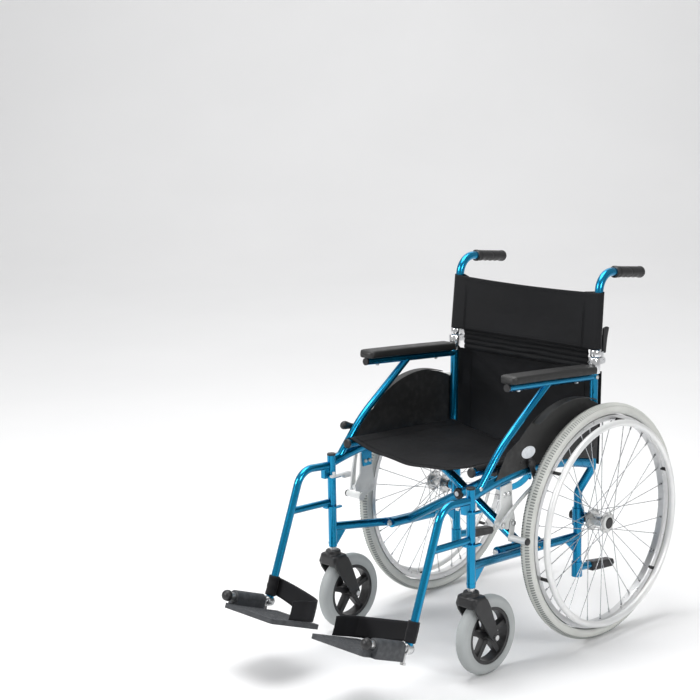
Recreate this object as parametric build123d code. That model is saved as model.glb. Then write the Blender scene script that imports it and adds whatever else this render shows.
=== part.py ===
from build123d import *
from math import atan2, cos, degrees, radians, sin
import os

# Manual folding wheelchair. Millimetres, +Z up, front towards -Y, the sitter's left at +X.
# The origin is on the floor at the middle of the whole chair's box. Heights are above the
# floor; y values in this script are measured from the axis of the front uprights, and
# write() moves every part by UPRIGHT_Y.

# ---- overall driving dimensions
UPRIGHT_X = 240.0          # side frame plane, from the centre plane
REAR_AXLE_Y = 452.0        # behind the front uprights
WHEEL_RADIUS = 307.0       # 24 x 1 3/8 inch tyre
TYRE_RADIUS = 17.0
WHEEL_X = 280.0
RIM_OUTER = 277.0
RIM_INNER = 262.0
RIM_HALF_WIDTH = 12.0
AXLE_RADIUS = 6.35         # half-inch axle
HUB_RADIUS = 14.0
HUB_INNER_X = 254.0        # outer faces of the two spoke flanges
HUB_OUTER_X = 302.0
FLANGE_RADIUS = 28.0
FLANGE_THICKNESS = 3.0
SPOKES_PER_FLANGE = 18
SPOKE_CIRCLE = 23.0
SPOKE_RADIUS = 1.0
NIPPLE_RADIUS = 2.0
NIPPLE_LENGTH = 11.0
STANDOFFS = 6
HANDRIM_X = 317.5
HANDRIM_RADIUS = 260.5
HANDRIM_TUBE = 8.5
CASTOR_RADIUS = 100.0      # 8 inch castor
CASTOR_TRAIL = 53.0
CASTOR_BEAD = 72.0         # where the tyre meets the hub
CASTOR_WIDTH = 31.0
CASTOR_ARMS = 5
STEM_RADIUS = 6.0
CASTOR_AXLE = 4.0          # radius
FORK_HALF_WIDTH = 33.0
FORK_LEG = 7.0             # thickness
FOOT_ANGLE = 20.0          # hanger tube from the vertical, footplate from the level
RAKE = 3.0                 # seat rails and cross-brace pivots fall to the rear

# ---- tubes and clearances
FRAME_TUBE = 11.0          # radius
BRACE_TUBE = 12.0
ARM_TUBE = 9.5
HANGER_TUBE = 10.0
FIT = 0.05                 # radial running clearance of a shaft in its bore
GAP = 0.4                  # between parts that move past each other

# ---- side frame, as (y, z) places in the side frame plane
UPRIGHT_LOW = 234.0
UPRIGHT_TOP = 478.0
CAP_THICKNESS = 5.0
UPPER_RAIL_APEX = (218.0, 487.0)
UPPER_RAIL_FRONT_Z = 459.0
UPPER_RAIL_REAR_Z = 450.5
UPPER_RAIL_HALF_WIDTH = 10.5
UPPER_RAIL_HALF_HEIGHT = 14.0
POST_TOP = (472.5, 700.0)
POST_FOOT = (466.0, 437.0)
LOW_POST_X = 211.0
LOW_POST_TOP = (447.0, 374.0)
LOW_POST_FOOT = (445.0, 146.0)
LOWER_RAIL_FRONT_Z = 287.0
LOWER_RAIL_BEND = (185.0, 266.0)
LOWER_RAIL_REAR_Z = 254.0
ARM_FRONT = (134.0, 702.5)
ARM_REAR = (471.0, 677.0)
STRUT_FOOT = (26.0, 466.0)
STRUT_KNEE = (110.0, 560.0)
STRUT_HEAD = (284.0, 687.0)
PLATE = 4.0                # welded plates, gussets and lugs
LUG_X = 236.0              # inner face of the plates welded to the side frame
GUARD_X = 251.0            # inner face of the side panel
GUARD_THICKNESS = 1.5
GUARD_RIM = 24.0           # how far its rim flares over the tyre
GUARD_NOSE = [(165.0, 570.0), (116.0, 545.0), (76.0, 484.0)]
GUARD_BELOW = [(218.0, 495.0), (470.0, 463.0)]
GUARD_TAIL = (478.0, 604.0)
GUARD_CROWN = (330.0, 642.0)
BRACKET_BOLT_Y = (119.0, 134.0)
BRACKET_BOLT_Z = 440.0
BOLT_RADIUS = 4.5
CRADLE_Y = (118.0, 352.0)  # the two seat rail cradles
PAD_WIDTH = 52.0
PAD_LENGTH = 328.0
PAD_HEIGHT = 22.0
PAD_MIDDLE_Y = 292.0

# ---- cross-brace, in its own raked plane: x across, y up, z towards the front
BRACE_CENTRE = (0.0, 245.0, 373.3)
PIVOT_X = 184.0
PIVOT_DROP = 105.2
SEAT_RAIL_X = 213.0
SEAT_RAIL_RISE = 121.9
BRACE_OFFSET = 13.0        # each brace tube from the centre plane of the pair
SLEEVE_HALF = 75.0
SLEEVE_RADIUS = 12.5
PIVOT_PIN = 6.0
CENTRE_BOLT = 4.0          # radius
SEAT_RAIL_FRONT = 218.0
SEAT_RAIL_REAR = -190.0
LINK_Z = 27.5              # stabiliser link, in front of the brace tube
LINK_FRAME_END = (229.0, 90.0)
LINK_BRACE_END = (95.5, 54.7)
LINK_HALF_WIDTH = 7.5
LINK_THICKNESS = 3.0
LINK_PIN = 4.0
SEAT_SAG = 30.0
SEAT_DEPTH = 402.0
FABRIC = 4.0
BACK_LOW = 446.0
BACK_HIGH = 682.0
BACK_WIDTH = 500.0

# ---- back
HINGE_Y = 497.0
HINGE_Z = 716.0
CANE_FOOT = (476.5, 726.0)
CANE_KNEE = (497.5, 942.4)
CANE_END = (668.0, 921.9)
CANE_TOP_X = 235.3
CANE_BEND = 48.0
GRIP_RADIUS = 15.0
GRIP_LENGTH = 119.0
HINGE_SOCKET = 14.0        # radius of the joint's socket round the post
SOCKET_TOP = 724.0
HINGE_PIN = 3.0
EAR_INNER = 8.0            # the two ears, each side of the tube's plane
EAR_OUTER = 11.0
RELEASE_PIN = (511.0, 739.0)
RELEASE_PADDLE = [(505.5, 741.0), (508.5, 768.0), (507.0, 789.0), (513.0, 798.0),
                  (527.0, 796.0), (529.0, 785.0), (518.5, 758.0), (516.5, 741.0)]
SLEEVE_LOW = 16.0          # upper back's sleeves, along the cane from its foot
SLEEVE_HIGH = 165.0
SLEEVE_THICKNESS = 3.5

# ---- footrest, in its own plane: x across, y up from the plate, z forward along the plate
FOOT_ORIGIN = (243.0, -224.3, 140.9)
PLATE_INNER = -175.0
PLATE_FRONT = 147.0
PLATE_BACK = -19.0
PLATE_TOP = -18.0
PLATE_THICKNESS = 12.0
BARREL = (26.0, 121.0)
PIVOT_TUBE = 9.5
HANGER_START = (-14.0, 452.0)
HANGER_KNEE = (-104.0, 457.5)
UPPER_SADDLE_Z = 423.0
LOWER_SADDLE_Z = 342.0
HANGER_STRUT_Z = 354.0

# ---- parking brake, as (y, z) places
BRACKET_X = 240.2
LEVER_X = 255.7
BRAKE_PIVOT = (94.0, 372.0)
BRAKE_BAR_LENGTH = 154.0
BRAKE_KNOB_LENGTH = 62.0
BRAKE_KNOB_TURN = 82.0
KNOB_HALF_WIDTH = 4.7      # flattened to pass between the side panel and the tyre
BRAKE_ON_ANGLE = 31.5
BRAKE_OFF_ANGLE = 77.0
BRAKE_PIN = 4.0            # radius
LEVER_THICKNESS = 4.0
SHOE_PIVOT = (143.8, 364.7)
SHOE_X = 246.0
SHOE_RADIUS = 8.0
SHOE_ARM = 37.3
SHOE_ON_ANGLE = -100.0
SHOE_OFF_ANGLE = -140.5

UPRIGHT_Y = -(REAR_AXLE_Y + WHEEL_RADIUS - 373.0) / 2


# ---------------------------------------------------------------- helpers
def rod(start, end, radius):
    """A round bar between two points."""
    a = Vector(*start)
    b = Vector(*end)
    return Plane(origin=a, z_dir=b - a) * Cylinder(
        radius, (b - a).length, align=(Align.CENTER, Align.CENTER, Align.MIN))


def bent_tube(points, radius, bend):
    """A round tube along straight runs joined by arcs."""
    path = FilletPolyline(*points, radius=bend)
    return sweep(Plane(origin=path @ 0, z_dir=path % 0) * Circle(radius), path=path)


def disc_x(x0, x1, radius, y, z):
    """A round bar along X."""
    return rod((x0, y, z), (x1, y, z), radius)


def plate_x(outline, x0, x1):
    """A plate across X from an outline of (y, z) points."""
    face = make_face(Polyline(*[(y, z) for y, z in outline], close=True))
    yz = Plane(origin=(x0, 0, 0), x_dir=(0, 1, 0), z_dir=(1, 0, 0))
    return extrude(yz * face, amount=x1 - x0)


def ring_x(section, y, z):
    """A ring about an axis along X, from a face of (radius, x) points."""
    turned = revolve(Plane.XZ * section, axis=Axis.Z)
    return Pos(0, y, z) * (Rot(0, 90, 0) * turned)


def block(x0, x1, y0, y1, z0, z1):
    """A box between two corners."""
    return Pos((x0 + x1) / 2, (y0 + y1) / 2, (z0 + z1) / 2) * Box(x1 - x0, y1 - y0, z1 - z0)


def polar(centre, length, angle):
    """A (y, z) place at a length and an angle from another."""
    return (centre[0] + length * cos(radians(angle)), centre[1] + length * sin(radians(angle)))


def write(name, shape):
    """Move a part from the uprights' axis to the chair's origin and export it."""
    os.makedirs("parts", exist_ok=True)
    placed = Pos(0, UPRIGHT_Y, 0) * shape
    solids = placed.solids()
    export_step(solids[0] if len(solids) == 1 else Compound(children=list(solids)), f"parts/{name}.step")


def write_pair(name, left):
    """Export a part of the left side and its mirror image on the right."""
    write(f"{name}_left", left)
    write(f"{name}_right", mirror(left, about=Plane.YZ))


def brace_frame():
    """The cross-brace's raked plane, at the centre bolt."""
    rake = radians(RAKE)
    return Plane(origin=BRACE_CENTRE, x_dir=(1, 0, 0), z_dir=(0, -cos(rake), sin(rake)))


def foot_frame():
    """The left footrest's plane, where the pivot tube meets the hanger tube."""
    tilt = radians(FOOT_ANGLE)
    return Plane(origin=FOOT_ORIGIN, x_dir=(1, 0, 0), z_dir=(0, -cos(tilt), sin(tilt)))


# ---------------------------------------------------------------- side frame
def uprights_and_rails():
    """Front upright, both rails and the rear post with its S-bend."""
    x = UPRIGHT_X
    upright = rod((x, 0, UPRIGHT_LOW), (x, 0, UPRIGHT_TOP), FRAME_TUBE)
    bead = rod((x, 0, 241), (x, 0, 245), FRAME_TUBE + 0.8)
    rail_path = ThreePointArc((x, 0, UPPER_RAIL_FRONT_Z), (x, *UPPER_RAIL_APEX), (x, 467, UPPER_RAIL_REAR_Z))
    oval = Ellipse(UPPER_RAIL_HALF_WIDTH, UPPER_RAIL_HALF_HEIGHT)
    rail_start = Plane(origin=rail_path @ 0, x_dir=(1, 0, 0), z_dir=rail_path % 0)
    upper_rail = sweep(rail_start * oval, path=rail_path)
    lower_rail = bent_tube([(x, 0, LOWER_RAIL_FRONT_Z), (LOW_POST_X - 2, *LOWER_RAIL_BEND),
                            (LOW_POST_X - 1, 445, LOWER_RAIL_REAR_Z)], FRAME_TUBE, 250)
    post = bent_tube([(x - 1, *POST_TOP), (x, *POST_FOOT), (LOW_POST_X, *LOW_POST_TOP),
                      (LOW_POST_X, *LOW_POST_FOOT)], FRAME_TUBE, 32)
    return upright + bead + upper_rail + lower_rail + post


def arm_and_strut():
    """Arm tube welded to the post, on its curved strut."""
    x = UPRIGHT_X
    arm = rod((x + 1, *ARM_FRONT), (x - 1, *ARM_REAR), ARM_TUBE)
    strut = bent_tube([(x, *STRUT_FOOT), (x, *STRUT_KNEE), (x, *STRUT_HEAD)], ARM_TUBE, 400)
    return arm + strut


def brake_bolts():
    """Two bolts through the brake lug."""
    bolts = [disc_x(LUG_X - 3, BRACKET_X + 6.5, BOLT_RADIUS, y, BRACKET_BOLT_Z) for y in BRACKET_BOLT_Y]
    return bolts[0] + bolts[1]


def gussets_and_lugs(link_side):
    """Welded plates: rail gussets, brake lug and the cross-brace pivot lugs with their pins.

    link_side is 1 with the stabiliser link in front of the cross-brace and -1 with it behind.
    """
    front = plate_x([(8, 282), (48, 274), (13, 237), (8, 237)], LUG_X + 0.5, LUG_X + 0.5 + PLATE)
    rear = plate_x([(440, 252), (388, 256), (438, 208)], LOW_POST_X - 3, LOW_POST_X - 3 + PLATE)
    brake_lug = plate_x([(108, 470), (144, 474), (142, 426), (112, 426)], LUG_X, LUG_X + PLATE)
    brake_lug -= brake_bolts()
    local = Part()
    for end in (1, -1):
        lug_z = end * (SLEEVE_HALF + GAP + PLATE / 2)
        eye = Pos(PIVOT_X, -PIVOT_DROP, lug_z) * Cylinder(13, PLATE)
        web = Pos(PIVOT_X + 12, -PIVOT_DROP - 1, lug_z) * Box(24, 20, PLATE)
        local += eye + web
    pin = Pos(PIVOT_X, -PIVOT_DROP, 0) * Cylinder(PIVOT_PIN, 2 * SLEEVE_HALF + 2 * GAP + 2)
    head = Pos(PIVOT_X, -PIVOT_DROP, SLEEVE_HALF + 7) * Cylinder(6.5, 6)
    link_lug = Pos(LINK_FRAME_END[0], LINK_FRAME_END[1] + 2, link_side * (LINK_Z - 8)) * Box(10, 24, 5)
    link_pin = Pos(*LINK_FRAME_END, link_side * (LINK_Z - 3)) * Cylinder(LINK_PIN, 11)
    return front + rear + brake_lug + brace_frame() * (local + pin + head + link_lug + link_pin)


def axle_receiver():
    """Collars on the lower post: the axle's bore, the foot collar and the tipping tube."""
    low_y = LOW_POST_FOOT[0]
    hub_collar = rod((LOW_POST_X, low_y + 3, 284), (LOW_POST_X, low_y + 3, 330), 15.5)
    boss = disc_x(LOW_POST_X - 12, LUG_X, 13, REAR_AXLE_Y, WHEEL_RADIUS)
    foot_collar = rod((LOW_POST_X, low_y, LOW_POST_FOOT[1]), (LOW_POST_X, low_y, 186), 14)
    tipping_tube = rod((LOW_POST_X, low_y + 5, 168), (LOW_POST_X, 520, 161), 10)
    return hub_collar + boss + foot_collar + tipping_tube


def side_frame(link_side):
    """The welded side frame, bored for the castor stem and the rear axle."""
    frame = uprights_and_rails() + arm_and_strut() + gussets_and_lugs(link_side) + axle_receiver()
    stem_bore = rod((UPRIGHT_X, 0, UPRIGHT_LOW - 1), (UPRIGHT_X, 0, 316), STEM_RADIUS + FIT)
    axle_bore = disc_x(190, 245, AXLE_RADIUS + FIT, REAR_AXLE_Y, WHEEL_RADIUS)
    return frame - stem_bore - axle_bore


def frame_plugs(frame):
    """Black plastic: tube caps, tipping rubber, axle nuts and the two seat rail cradles."""
    x = UPRIGHT_X
    top_cap = rod((x, 0, UPRIGHT_TOP), (x, 0, UPRIGHT_TOP + CAP_THICKNESS), FRAME_TUBE + 0.3)
    top_cap = fillet(top_cap.edges().group_by(Axis.Z)[-1], 2)
    arm_cap = rod((x + 1, ARM_FRONT[0] - 5, ARM_FRONT[1] + 0.4), (x + 1, *ARM_FRONT), ARM_TUBE)
    rubber = plate_x([(496, 174), (585, 162), (590, 150), (582, 142), (496, 149)], 198, 224)
    rubber = fillet(rubber.edges(), 3)
    inner_nut = disc_x(187, 198.8, 12, REAR_AXLE_Y, WHEEL_RADIUS)
    outer_nut = disc_x(236.2, 243, 12, REAR_AXLE_Y, WHEEL_RADIUS)
    nuts = inner_nut + outer_nut - disc_x(180, 250, AXLE_RADIUS + FIT, REAR_AXLE_Y, WHEEL_RADIUS)
    plugs = [top_cap - frame, arm_cap - frame, rubber - frame, *(nuts - frame).solids()]
    for y in CRADLE_Y:
        local_z = (BRACE_CENTRE[1] - y) / cos(radians(RAKE))
        cup = Pos(213.5, SEAT_RAIL_RISE - 8, local_z) * Box(31, 22, 30)
        groove = Pos(SEAT_RAIL_X, SEAT_RAIL_RISE, local_z) * Cylinder(FRAME_TUBE + GAP, 40)
        opening = Pos(SEAT_RAIL_X, SEAT_RAIL_RISE + 12, local_z) * Box(2 * (FRAME_TUBE + GAP), 24, 40)
        plugs.append(brace_frame() * (cup - groove - opening) - frame)
    return Compound(children=[solid for plug in plugs for solid in plug.solids()])


def skirt_guard(frame):
    """Side panel outboard of the tubes, with an arched rim flared over the tyre."""
    edge = (Polyline(*GUARD_NOSE) + ThreePointArc(GUARD_NOSE[-1], *GUARD_BELOW)
            + Line(GUARD_BELOW[-1], GUARD_TAIL) + ThreePointArc(GUARD_TAIL, GUARD_CROWN, GUARD_NOSE[0]))
    yz = Plane(origin=(GUARD_X, 0, 0), x_dir=(0, 1, 0), z_dir=(1, 0, 0))
    panel = extrude(yz * make_face(edge), amount=GUARD_THICKNESS)
    crown = ThreePointArc((215, 604), GUARD_CROWN, (436, 628))
    rim = extrude(yz * make_face(offset(crown, amount=1.2)), amount=GUARD_RIM)
    return panel + rim - frame


def arm_pad():
    """Moulded arm pad lying along the arm tube."""
    fall = (ARM_FRONT[1] - ARM_REAR[1]) / (ARM_REAR[0] - ARM_FRONT[0])
    middle_z = ARM_FRONT[1] - (PAD_MIDDLE_Y - ARM_FRONT[0]) * fall
    pad = extrude(RectangleRounded(PAD_WIDTH, PAD_LENGTH, 14), amount=PAD_HEIGHT)
    pad = fillet(pad.edges().group_by(Axis.Z)[-1], 7)
    tilt = Rot(-degrees(atan2(fall, 1)), 0, 0)
    return Pos(UPRIGHT_X + 1, PAD_MIDDLE_Y, middle_z) * (tilt * (Pos(0, 0, ARM_TUBE + 0.1) * pad))


# ---------------------------------------------------------------- cross-brace and seat
def brace(side, offset_z):
    """One brace tube with its pivot sleeve below and its seat rail above; side is the rail's side."""
    foot = (-side * PIVOT_X, -PIVOT_DROP, offset_z)
    head = (side * SEAT_RAIL_X, SEAT_RAIL_RISE, offset_z)
    tube = rod(foot, head, BRACE_TUBE)
    sleeve = Pos(foot[0], foot[1], 0) * Cylinder(SLEEVE_RADIUS, 2 * SLEEVE_HALF)
    rail = rod((head[0], head[1], SEAT_RAIL_REAR), (head[0], head[1], SEAT_RAIL_FRONT), FRAME_TUBE)
    bore = Pos(foot[0], foot[1], 0) * Cylinder(PIVOT_PIN + FIT, 4 * SLEEVE_HALF)
    centre_bore = Cylinder(CENTRE_BOLT + FIT, 80)
    cut_foot = Pos(foot[0], foot[1] - 21, offset_z) * Box(60, 16, 40)
    return brace_frame() * (tube + sleeve + rail - bore - centre_bore - cut_foot)


def brace_bolt():
    """Centre bolt with its head, washer and nut."""
    reach = BRACE_OFFSET + BRACE_TUBE
    shank = Cylinder(CENTRE_BOLT, 2 * reach + 6)
    washer = Pos(0, 0, reach + 1.2) * Cylinder(9, 2)
    head = Pos(0, 0, reach + 4.2) * Cylinder(6.5, 4)
    nut = Pos(0, 0, -reach - 4) * Cylinder(6.5, 5)
    return brace_frame() * (shank + washer + head + nut)


def stabiliser_link(side, link_z):
    """Flat curved link from the upper rail's lug towards its brace tube."""
    start = LINK_FRAME_END
    end = LINK_BRACE_END
    sag = ((start[0] + end[0]) / 2 + 8, (start[1] + end[1]) / 2 - 24)
    spine = ThreePointArc(start, sag, end)
    bar = make_face(offset(spine, amount=LINK_HALF_WIDTH))
    link = Pos(0, 0, link_z - LINK_THICKNESS / 2) * extrude(bar, amount=LINK_THICKNESS)
    link -= Pos(*start, link_z) * Cylinder(LINK_PIN + FIT, 20)
    link -= Pos(*end, link_z) * Cylinder(LINK_PIN + 1, 20)
    link = brace_frame() * link
    return link if side > 0 else mirror(link, about=Plane.YZ)


def seat_sling():
    """Sagging seat panel between the rails, clear of them."""
    half = SEAT_RAIL_X
    top = SEAT_RAIL_RISE + FRAME_TUBE + 3 * GAP
    arc_low = ThreePointArc((-half, top), (0, top - SEAT_SAG), (half, top))
    arc_high = ThreePointArc((half, top + FABRIC), (0, top + FABRIC - SEAT_SAG), (-half, top + FABRIC))
    face = make_face(arc_low + Line((half, top), (half, top + FABRIC)) + arc_high
                     + Line((-half, top + FABRIC), (-half, top)))
    return brace_frame() * (Pos(0, 0, SEAT_RAIL_REAR + 2) * extrude(face, amount=SEAT_DEPTH))


# ---------------------------------------------------------------- back
def back_hinge(frame):
    """Lower half of the folding joint: a socket round the post and two ears with the hinge pin."""
    x = UPRIGHT_X - 1
    post_y = POST_TOP[0]
    socket = rod((x, post_y, POST_TOP[1] - 14), (x, post_y + 1, SOCKET_TOP), HINGE_SOCKET)
    ears = Part()
    for x0, x1 in ((x - EAR_OUTER, x - EAR_INNER), (x + EAR_INNER, x + EAR_OUTER)):
        ears += block(x0, x1, post_y + 8, HINGE_Y, HINGE_Z - 8, HINGE_Z + 8)
        ears += disc_x(x0, x1, 8, HINGE_Y, HINGE_Z)
    pin = disc_x(x - EAR_OUTER - 1, x + EAR_OUTER + 1, HINGE_PIN, HINGE_Y, HINGE_Z)
    return socket - frame + ears + pin


def push_cane():
    """Upper back tube bent to the rear, with its hinge tongue."""
    x = UPRIGHT_X - 1
    foot = (x, *CANE_FOOT)
    tube = bent_tube([foot, (CANE_TOP_X, *CANE_KNEE), (CANE_TOP_X, *CANE_END)], FRAME_TUBE, CANE_BEND)
    half = EAR_INNER - 1
    tongue = block(x - half, x + half, CANE_FOOT[0] + 5, HINGE_Y + 4, CANE_FOOT[1] + 2, CANE_FOOT[1] + 12)
    knuckle = disc_x(x - half, x + half, 7, HINGE_Y, HINGE_Z)
    web = block(x - half, x + half, HINGE_Y - 4, HINGE_Y + 4, HINGE_Z, CANE_FOOT[1] + 12)
    bore = disc_x(x - 20, x + 20, HINGE_PIN + FIT, HINGE_Y, HINGE_Z)
    socket_room = rod((x, POST_TOP[0], 690), (x, POST_TOP[0] + 1, SOCKET_TOP + GAP), HINGE_SOCKET + GAP)
    return tube + tongue + knuckle + web - bore - socket_room


def push_grip():
    """Grip pushed over the end of the cane, closed and rounded behind."""
    knee = Vector(CANE_TOP_X, *CANE_KNEE)
    end = Vector(CANE_TOP_X, *CANE_END)
    along = (end - knee).normalized()
    tip = end + along * 6
    start = tip - along * GRIP_LENGTH
    grip = rod(start, tip, GRIP_RADIUS)
    grip = fillet(grip.edges().group_by(Axis.Y)[-1], 9)
    return grip - rod(knee, end, FRAME_TUBE)


def release_lever():
    """Paddle behind the joint that frees the cane, on its own pin."""
    x = UPRIGHT_X - 1
    eye = disc_x(x - 6, x + 6, 6, *RELEASE_PIN)
    paddle = plate_x(RELEASE_PADDLE, x - 5, x + 5)
    paddle = fillet(paddle.edges().filter_by(Axis.X), 2)
    return eye + paddle


# ---------------------------------------------------------------- rear wheel
def rear_tyre():
    """Round tyre with its bead flattened on the rim."""
    centre_radius = WHEEL_RADIUS - TYRE_RADIUS
    section = Pos(centre_radius, WHEEL_X) * Circle(TYRE_RADIUS)
    section -= Pos(RIM_OUTER - 20, WHEEL_X) * Rectangle(40, 60)
    return ring_x(section, REAR_AXLE_Y, WHEEL_RADIUS)


def rear_rim():
    """Box-section rim, rounded inside."""
    section = Pos((RIM_OUTER + RIM_INNER) / 2, WHEEL_X) * Rectangle(RIM_OUTER - RIM_INNER, 2 * RIM_HALF_WIDTH)
    section = fillet(section.vertices().group_by(Axis.X)[0], 5)
    return ring_x(section, REAR_AXLE_Y, WHEEL_RADIUS)


def rear_hub():
    """Hub shell with two spoke flanges and the axle that runs in the frame's receiver."""
    hub = disc_x(HUB_INNER_X, HUB_OUTER_X, HUB_RADIUS, REAR_AXLE_Y, WHEEL_RADIUS)
    for x0 in (HUB_INNER_X, HUB_OUTER_X - FLANGE_THICKNESS):
        hub += disc_x(x0, x0 + FLANGE_THICKNESS, FLANGE_RADIUS, REAR_AXLE_Y, WHEEL_RADIUS)
    hub += disc_x(HUB_INNER_X - 8, HUB_INNER_X, 9, REAR_AXLE_Y, WHEEL_RADIUS)
    axle = disc_x(184, HUB_INNER_X - 4, AXLE_RADIUS, REAR_AXLE_Y, WHEEL_RADIUS)
    return hub + axle


def spokes():
    """Thirty-six crossed wire spokes, eighteen to each flange, each with its nipple."""
    wires = []
    hub = rear_hub()
    rim = rear_rim()
    axle = (REAR_AXLE_Y, WHEEL_RADIUS)
    step = 360 / SPOKES_PER_FLANGE
    inner_flange = HUB_INNER_X + FLANGE_THICKNESS / 2
    outer_flange = HUB_OUTER_X - FLANGE_THICKNESS / 2
    for flange_x, rim_x, shift in ((inner_flange, WHEEL_X - 3, 0), (outer_flange, WHEEL_X + 3, step / 2)):
        for k in range(SPOKES_PER_FLANGE):
            hub_angle = step * k + shift
            lead = 1 if k % 2 == 0 else -1
            start = Vector(flange_x + 2.6 * lead, *polar(axle, SPOKE_CIRCLE, hub_angle))
            end = Vector(rim_x, *polar(axle, RIM_INNER - 0.1, hub_angle + 60 * lead))
            wire = rod(start, end, SPOKE_RADIUS)
            nipple = rod(end + (start - end).normalized() * NIPPLE_LENGTH, end, NIPPLE_RADIUS)
            spoke = wire + nipple - hub - rim
            wires.append(max(spoke.solids(), key=lambda solid: solid.volume))
    return Compound(children=wires)


def handrim():
    """Round push ring outboard of the rim."""
    section = Pos(HANDRIM_RADIUS, HANDRIM_X) * Circle(HANDRIM_TUBE)
    return ring_x(section, REAR_AXLE_Y, WHEEL_RADIUS)


def wheel_trim():
    """Six handrim stand-offs and the hub's end cap."""
    ring = handrim()
    rim = rear_rim()
    pieces = []
    for k in range(STANDOFFS):
        y, z = polar((REAR_AXLE_Y, WHEEL_RADIUS), RIM_INNER + 3.5, 20 + 360 / STANDOFFS * k)
        standoff = disc_x(WHEEL_X + 8, HANDRIM_X - 2, 4.5, y, z) - ring - rim
        pieces.append(max(standoff.solids(), key=lambda solid: solid.volume))
    cap = disc_x(HUB_OUTER_X, HUB_OUTER_X + 8, 15, REAR_AXLE_Y, WHEEL_RADIUS)
    pieces.append(fillet(cap.edges().group_by(Axis.X)[-1], 3).solids()[0])
    return Compound(children=pieces)


# ---------------------------------------------------------------- castor
def castor_fork():
    """Moulded fork: crown round the stem and two legs raked back to the axle."""
    x = UPRIGHT_X
    crown = rod((x, 0, 196), (x, 0, 225), 20)
    crown = fillet(crown.edges().group_by(Axis.Z)[-1], 4)
    inside = FORK_HALF_WIDTH - FORK_LEG
    yoke = block(x - FORK_HALF_WIDTH, x + FORK_HALF_WIDTH, -22, 26, 186, 214)
    yoke = fillet(yoke.edges().filter_by(Axis.Z), 14)
    yoke = fillet(yoke.edges().group_by(Axis.Z)[-1], 7)
    legs = Part()
    outline = [(-16, 204), (-21, 192), (-14, 174), (41, 95), (66, 104), (35, 186), (24, 206)]
    for x0 in (x - FORK_HALF_WIDTH, x + inside):
        leg = plate_x(outline, x0, x0 + FORK_LEG)
        leg = fillet(leg.edges().filter_by(Axis.X), 3)
        leg += disc_x(x0, x0 + FORK_LEG, 13, CASTOR_TRAIL, CASTOR_RADIUS)
        legs += leg
    wheel_room = disc_x(x - inside, x + inside, CASTOR_RADIUS + 4, CASTOR_TRAIL, CASTOR_RADIUS)
    stem_seat = rod((x, 0, 190), (x, 0, 230), STEM_RADIUS)
    axle_bore = disc_x(x - 50, x + 50, CASTOR_AXLE, CASTOR_TRAIL, CASTOR_RADIUS)
    return crown + yoke + legs - wheel_room - stem_seat - axle_bore


def castor_bolts():
    """Swivel stem with its flange nut, and the wheel's axle bolt, all fixed in the fork."""
    x = UPRIGHT_X
    stem = rod((x, 0, 206), (x, 0, 310), STEM_RADIUS) + rod((x, 0, 225), (x, 0, 232), 9)
    half = FORK_HALF_WIDTH
    axle = disc_x(x - half - 3, x + half + 3, CASTOR_AXLE, CASTOR_TRAIL, CASTOR_RADIUS)
    axle += disc_x(x + half, x + half + 5, 6.5, CASTOR_TRAIL, CASTOR_RADIUS)
    axle += disc_x(x - half - 5, x - half, 6.5, CASTOR_TRAIL, CASTOR_RADIUS)
    return Compound(children=[stem.solids()[0], axle.solids()[0]])


def castor_tyre():
    """Solid grey tyre with rounded shoulders."""
    depth = CASTOR_RADIUS - CASTOR_BEAD
    section = Pos(CASTOR_BEAD + depth / 2, UPRIGHT_X) * Rectangle(depth, CASTOR_WIDTH)
    section = fillet(section.vertices().group_by(Axis.X)[-1], 13)
    return ring_x(section, CASTOR_TRAIL, CASTOR_RADIUS)


def castor_hub():
    """Five-spoked hub in one moulding, with its bearing bore."""
    x = UPRIGHT_X
    rim_depth = 9.0
    rim = Pos(CASTOR_BEAD - rim_depth / 2, x) * Rectangle(rim_depth, CASTOR_WIDTH - 3)
    hub = ring_x(rim, CASTOR_TRAIL, CASTOR_RADIUS)
    hub += disc_x(x - 17, x + 17, 15, CASTOR_TRAIL, CASTOR_RADIUS)
    reach = CASTOR_BEAD - 6
    for k in range(CASTOR_ARMS):
        angle = 90 + 360 / CASTOR_ARMS * k
        arm = plate_x([(8, -8), (reach, -5.5), (reach, 5.5), (8, 8)], x - 9, x + 9)
        hub += Pos(0, CASTOR_TRAIL, CASTOR_RADIUS) * (Rot(angle, 0, 0) * arm)
    return hub - disc_x(x - 50, x + 50, CASTOR_AXLE + FIT, CASTOR_TRAIL, CASTOR_RADIUS)


# ---------------------------------------------------------------- footrest
def saddle(z):
    """Plate that hooks round the front of the upright, open to the rear."""
    x = UPRIGHT_X
    outer = Pos(x, 0, z) * Cylinder(20, 5) + block(x - 20, x + 20, 0, 16, z - 2.5, z + 2.5)
    opening = Pos(x, 0, z) * Cylinder(FRAME_TUBE + GAP, 9)
    opening += block(x - FRAME_TUBE - GAP, x + FRAME_TUBE + GAP, 0, 30, z - 5, z + 5)
    return outer - opening


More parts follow.
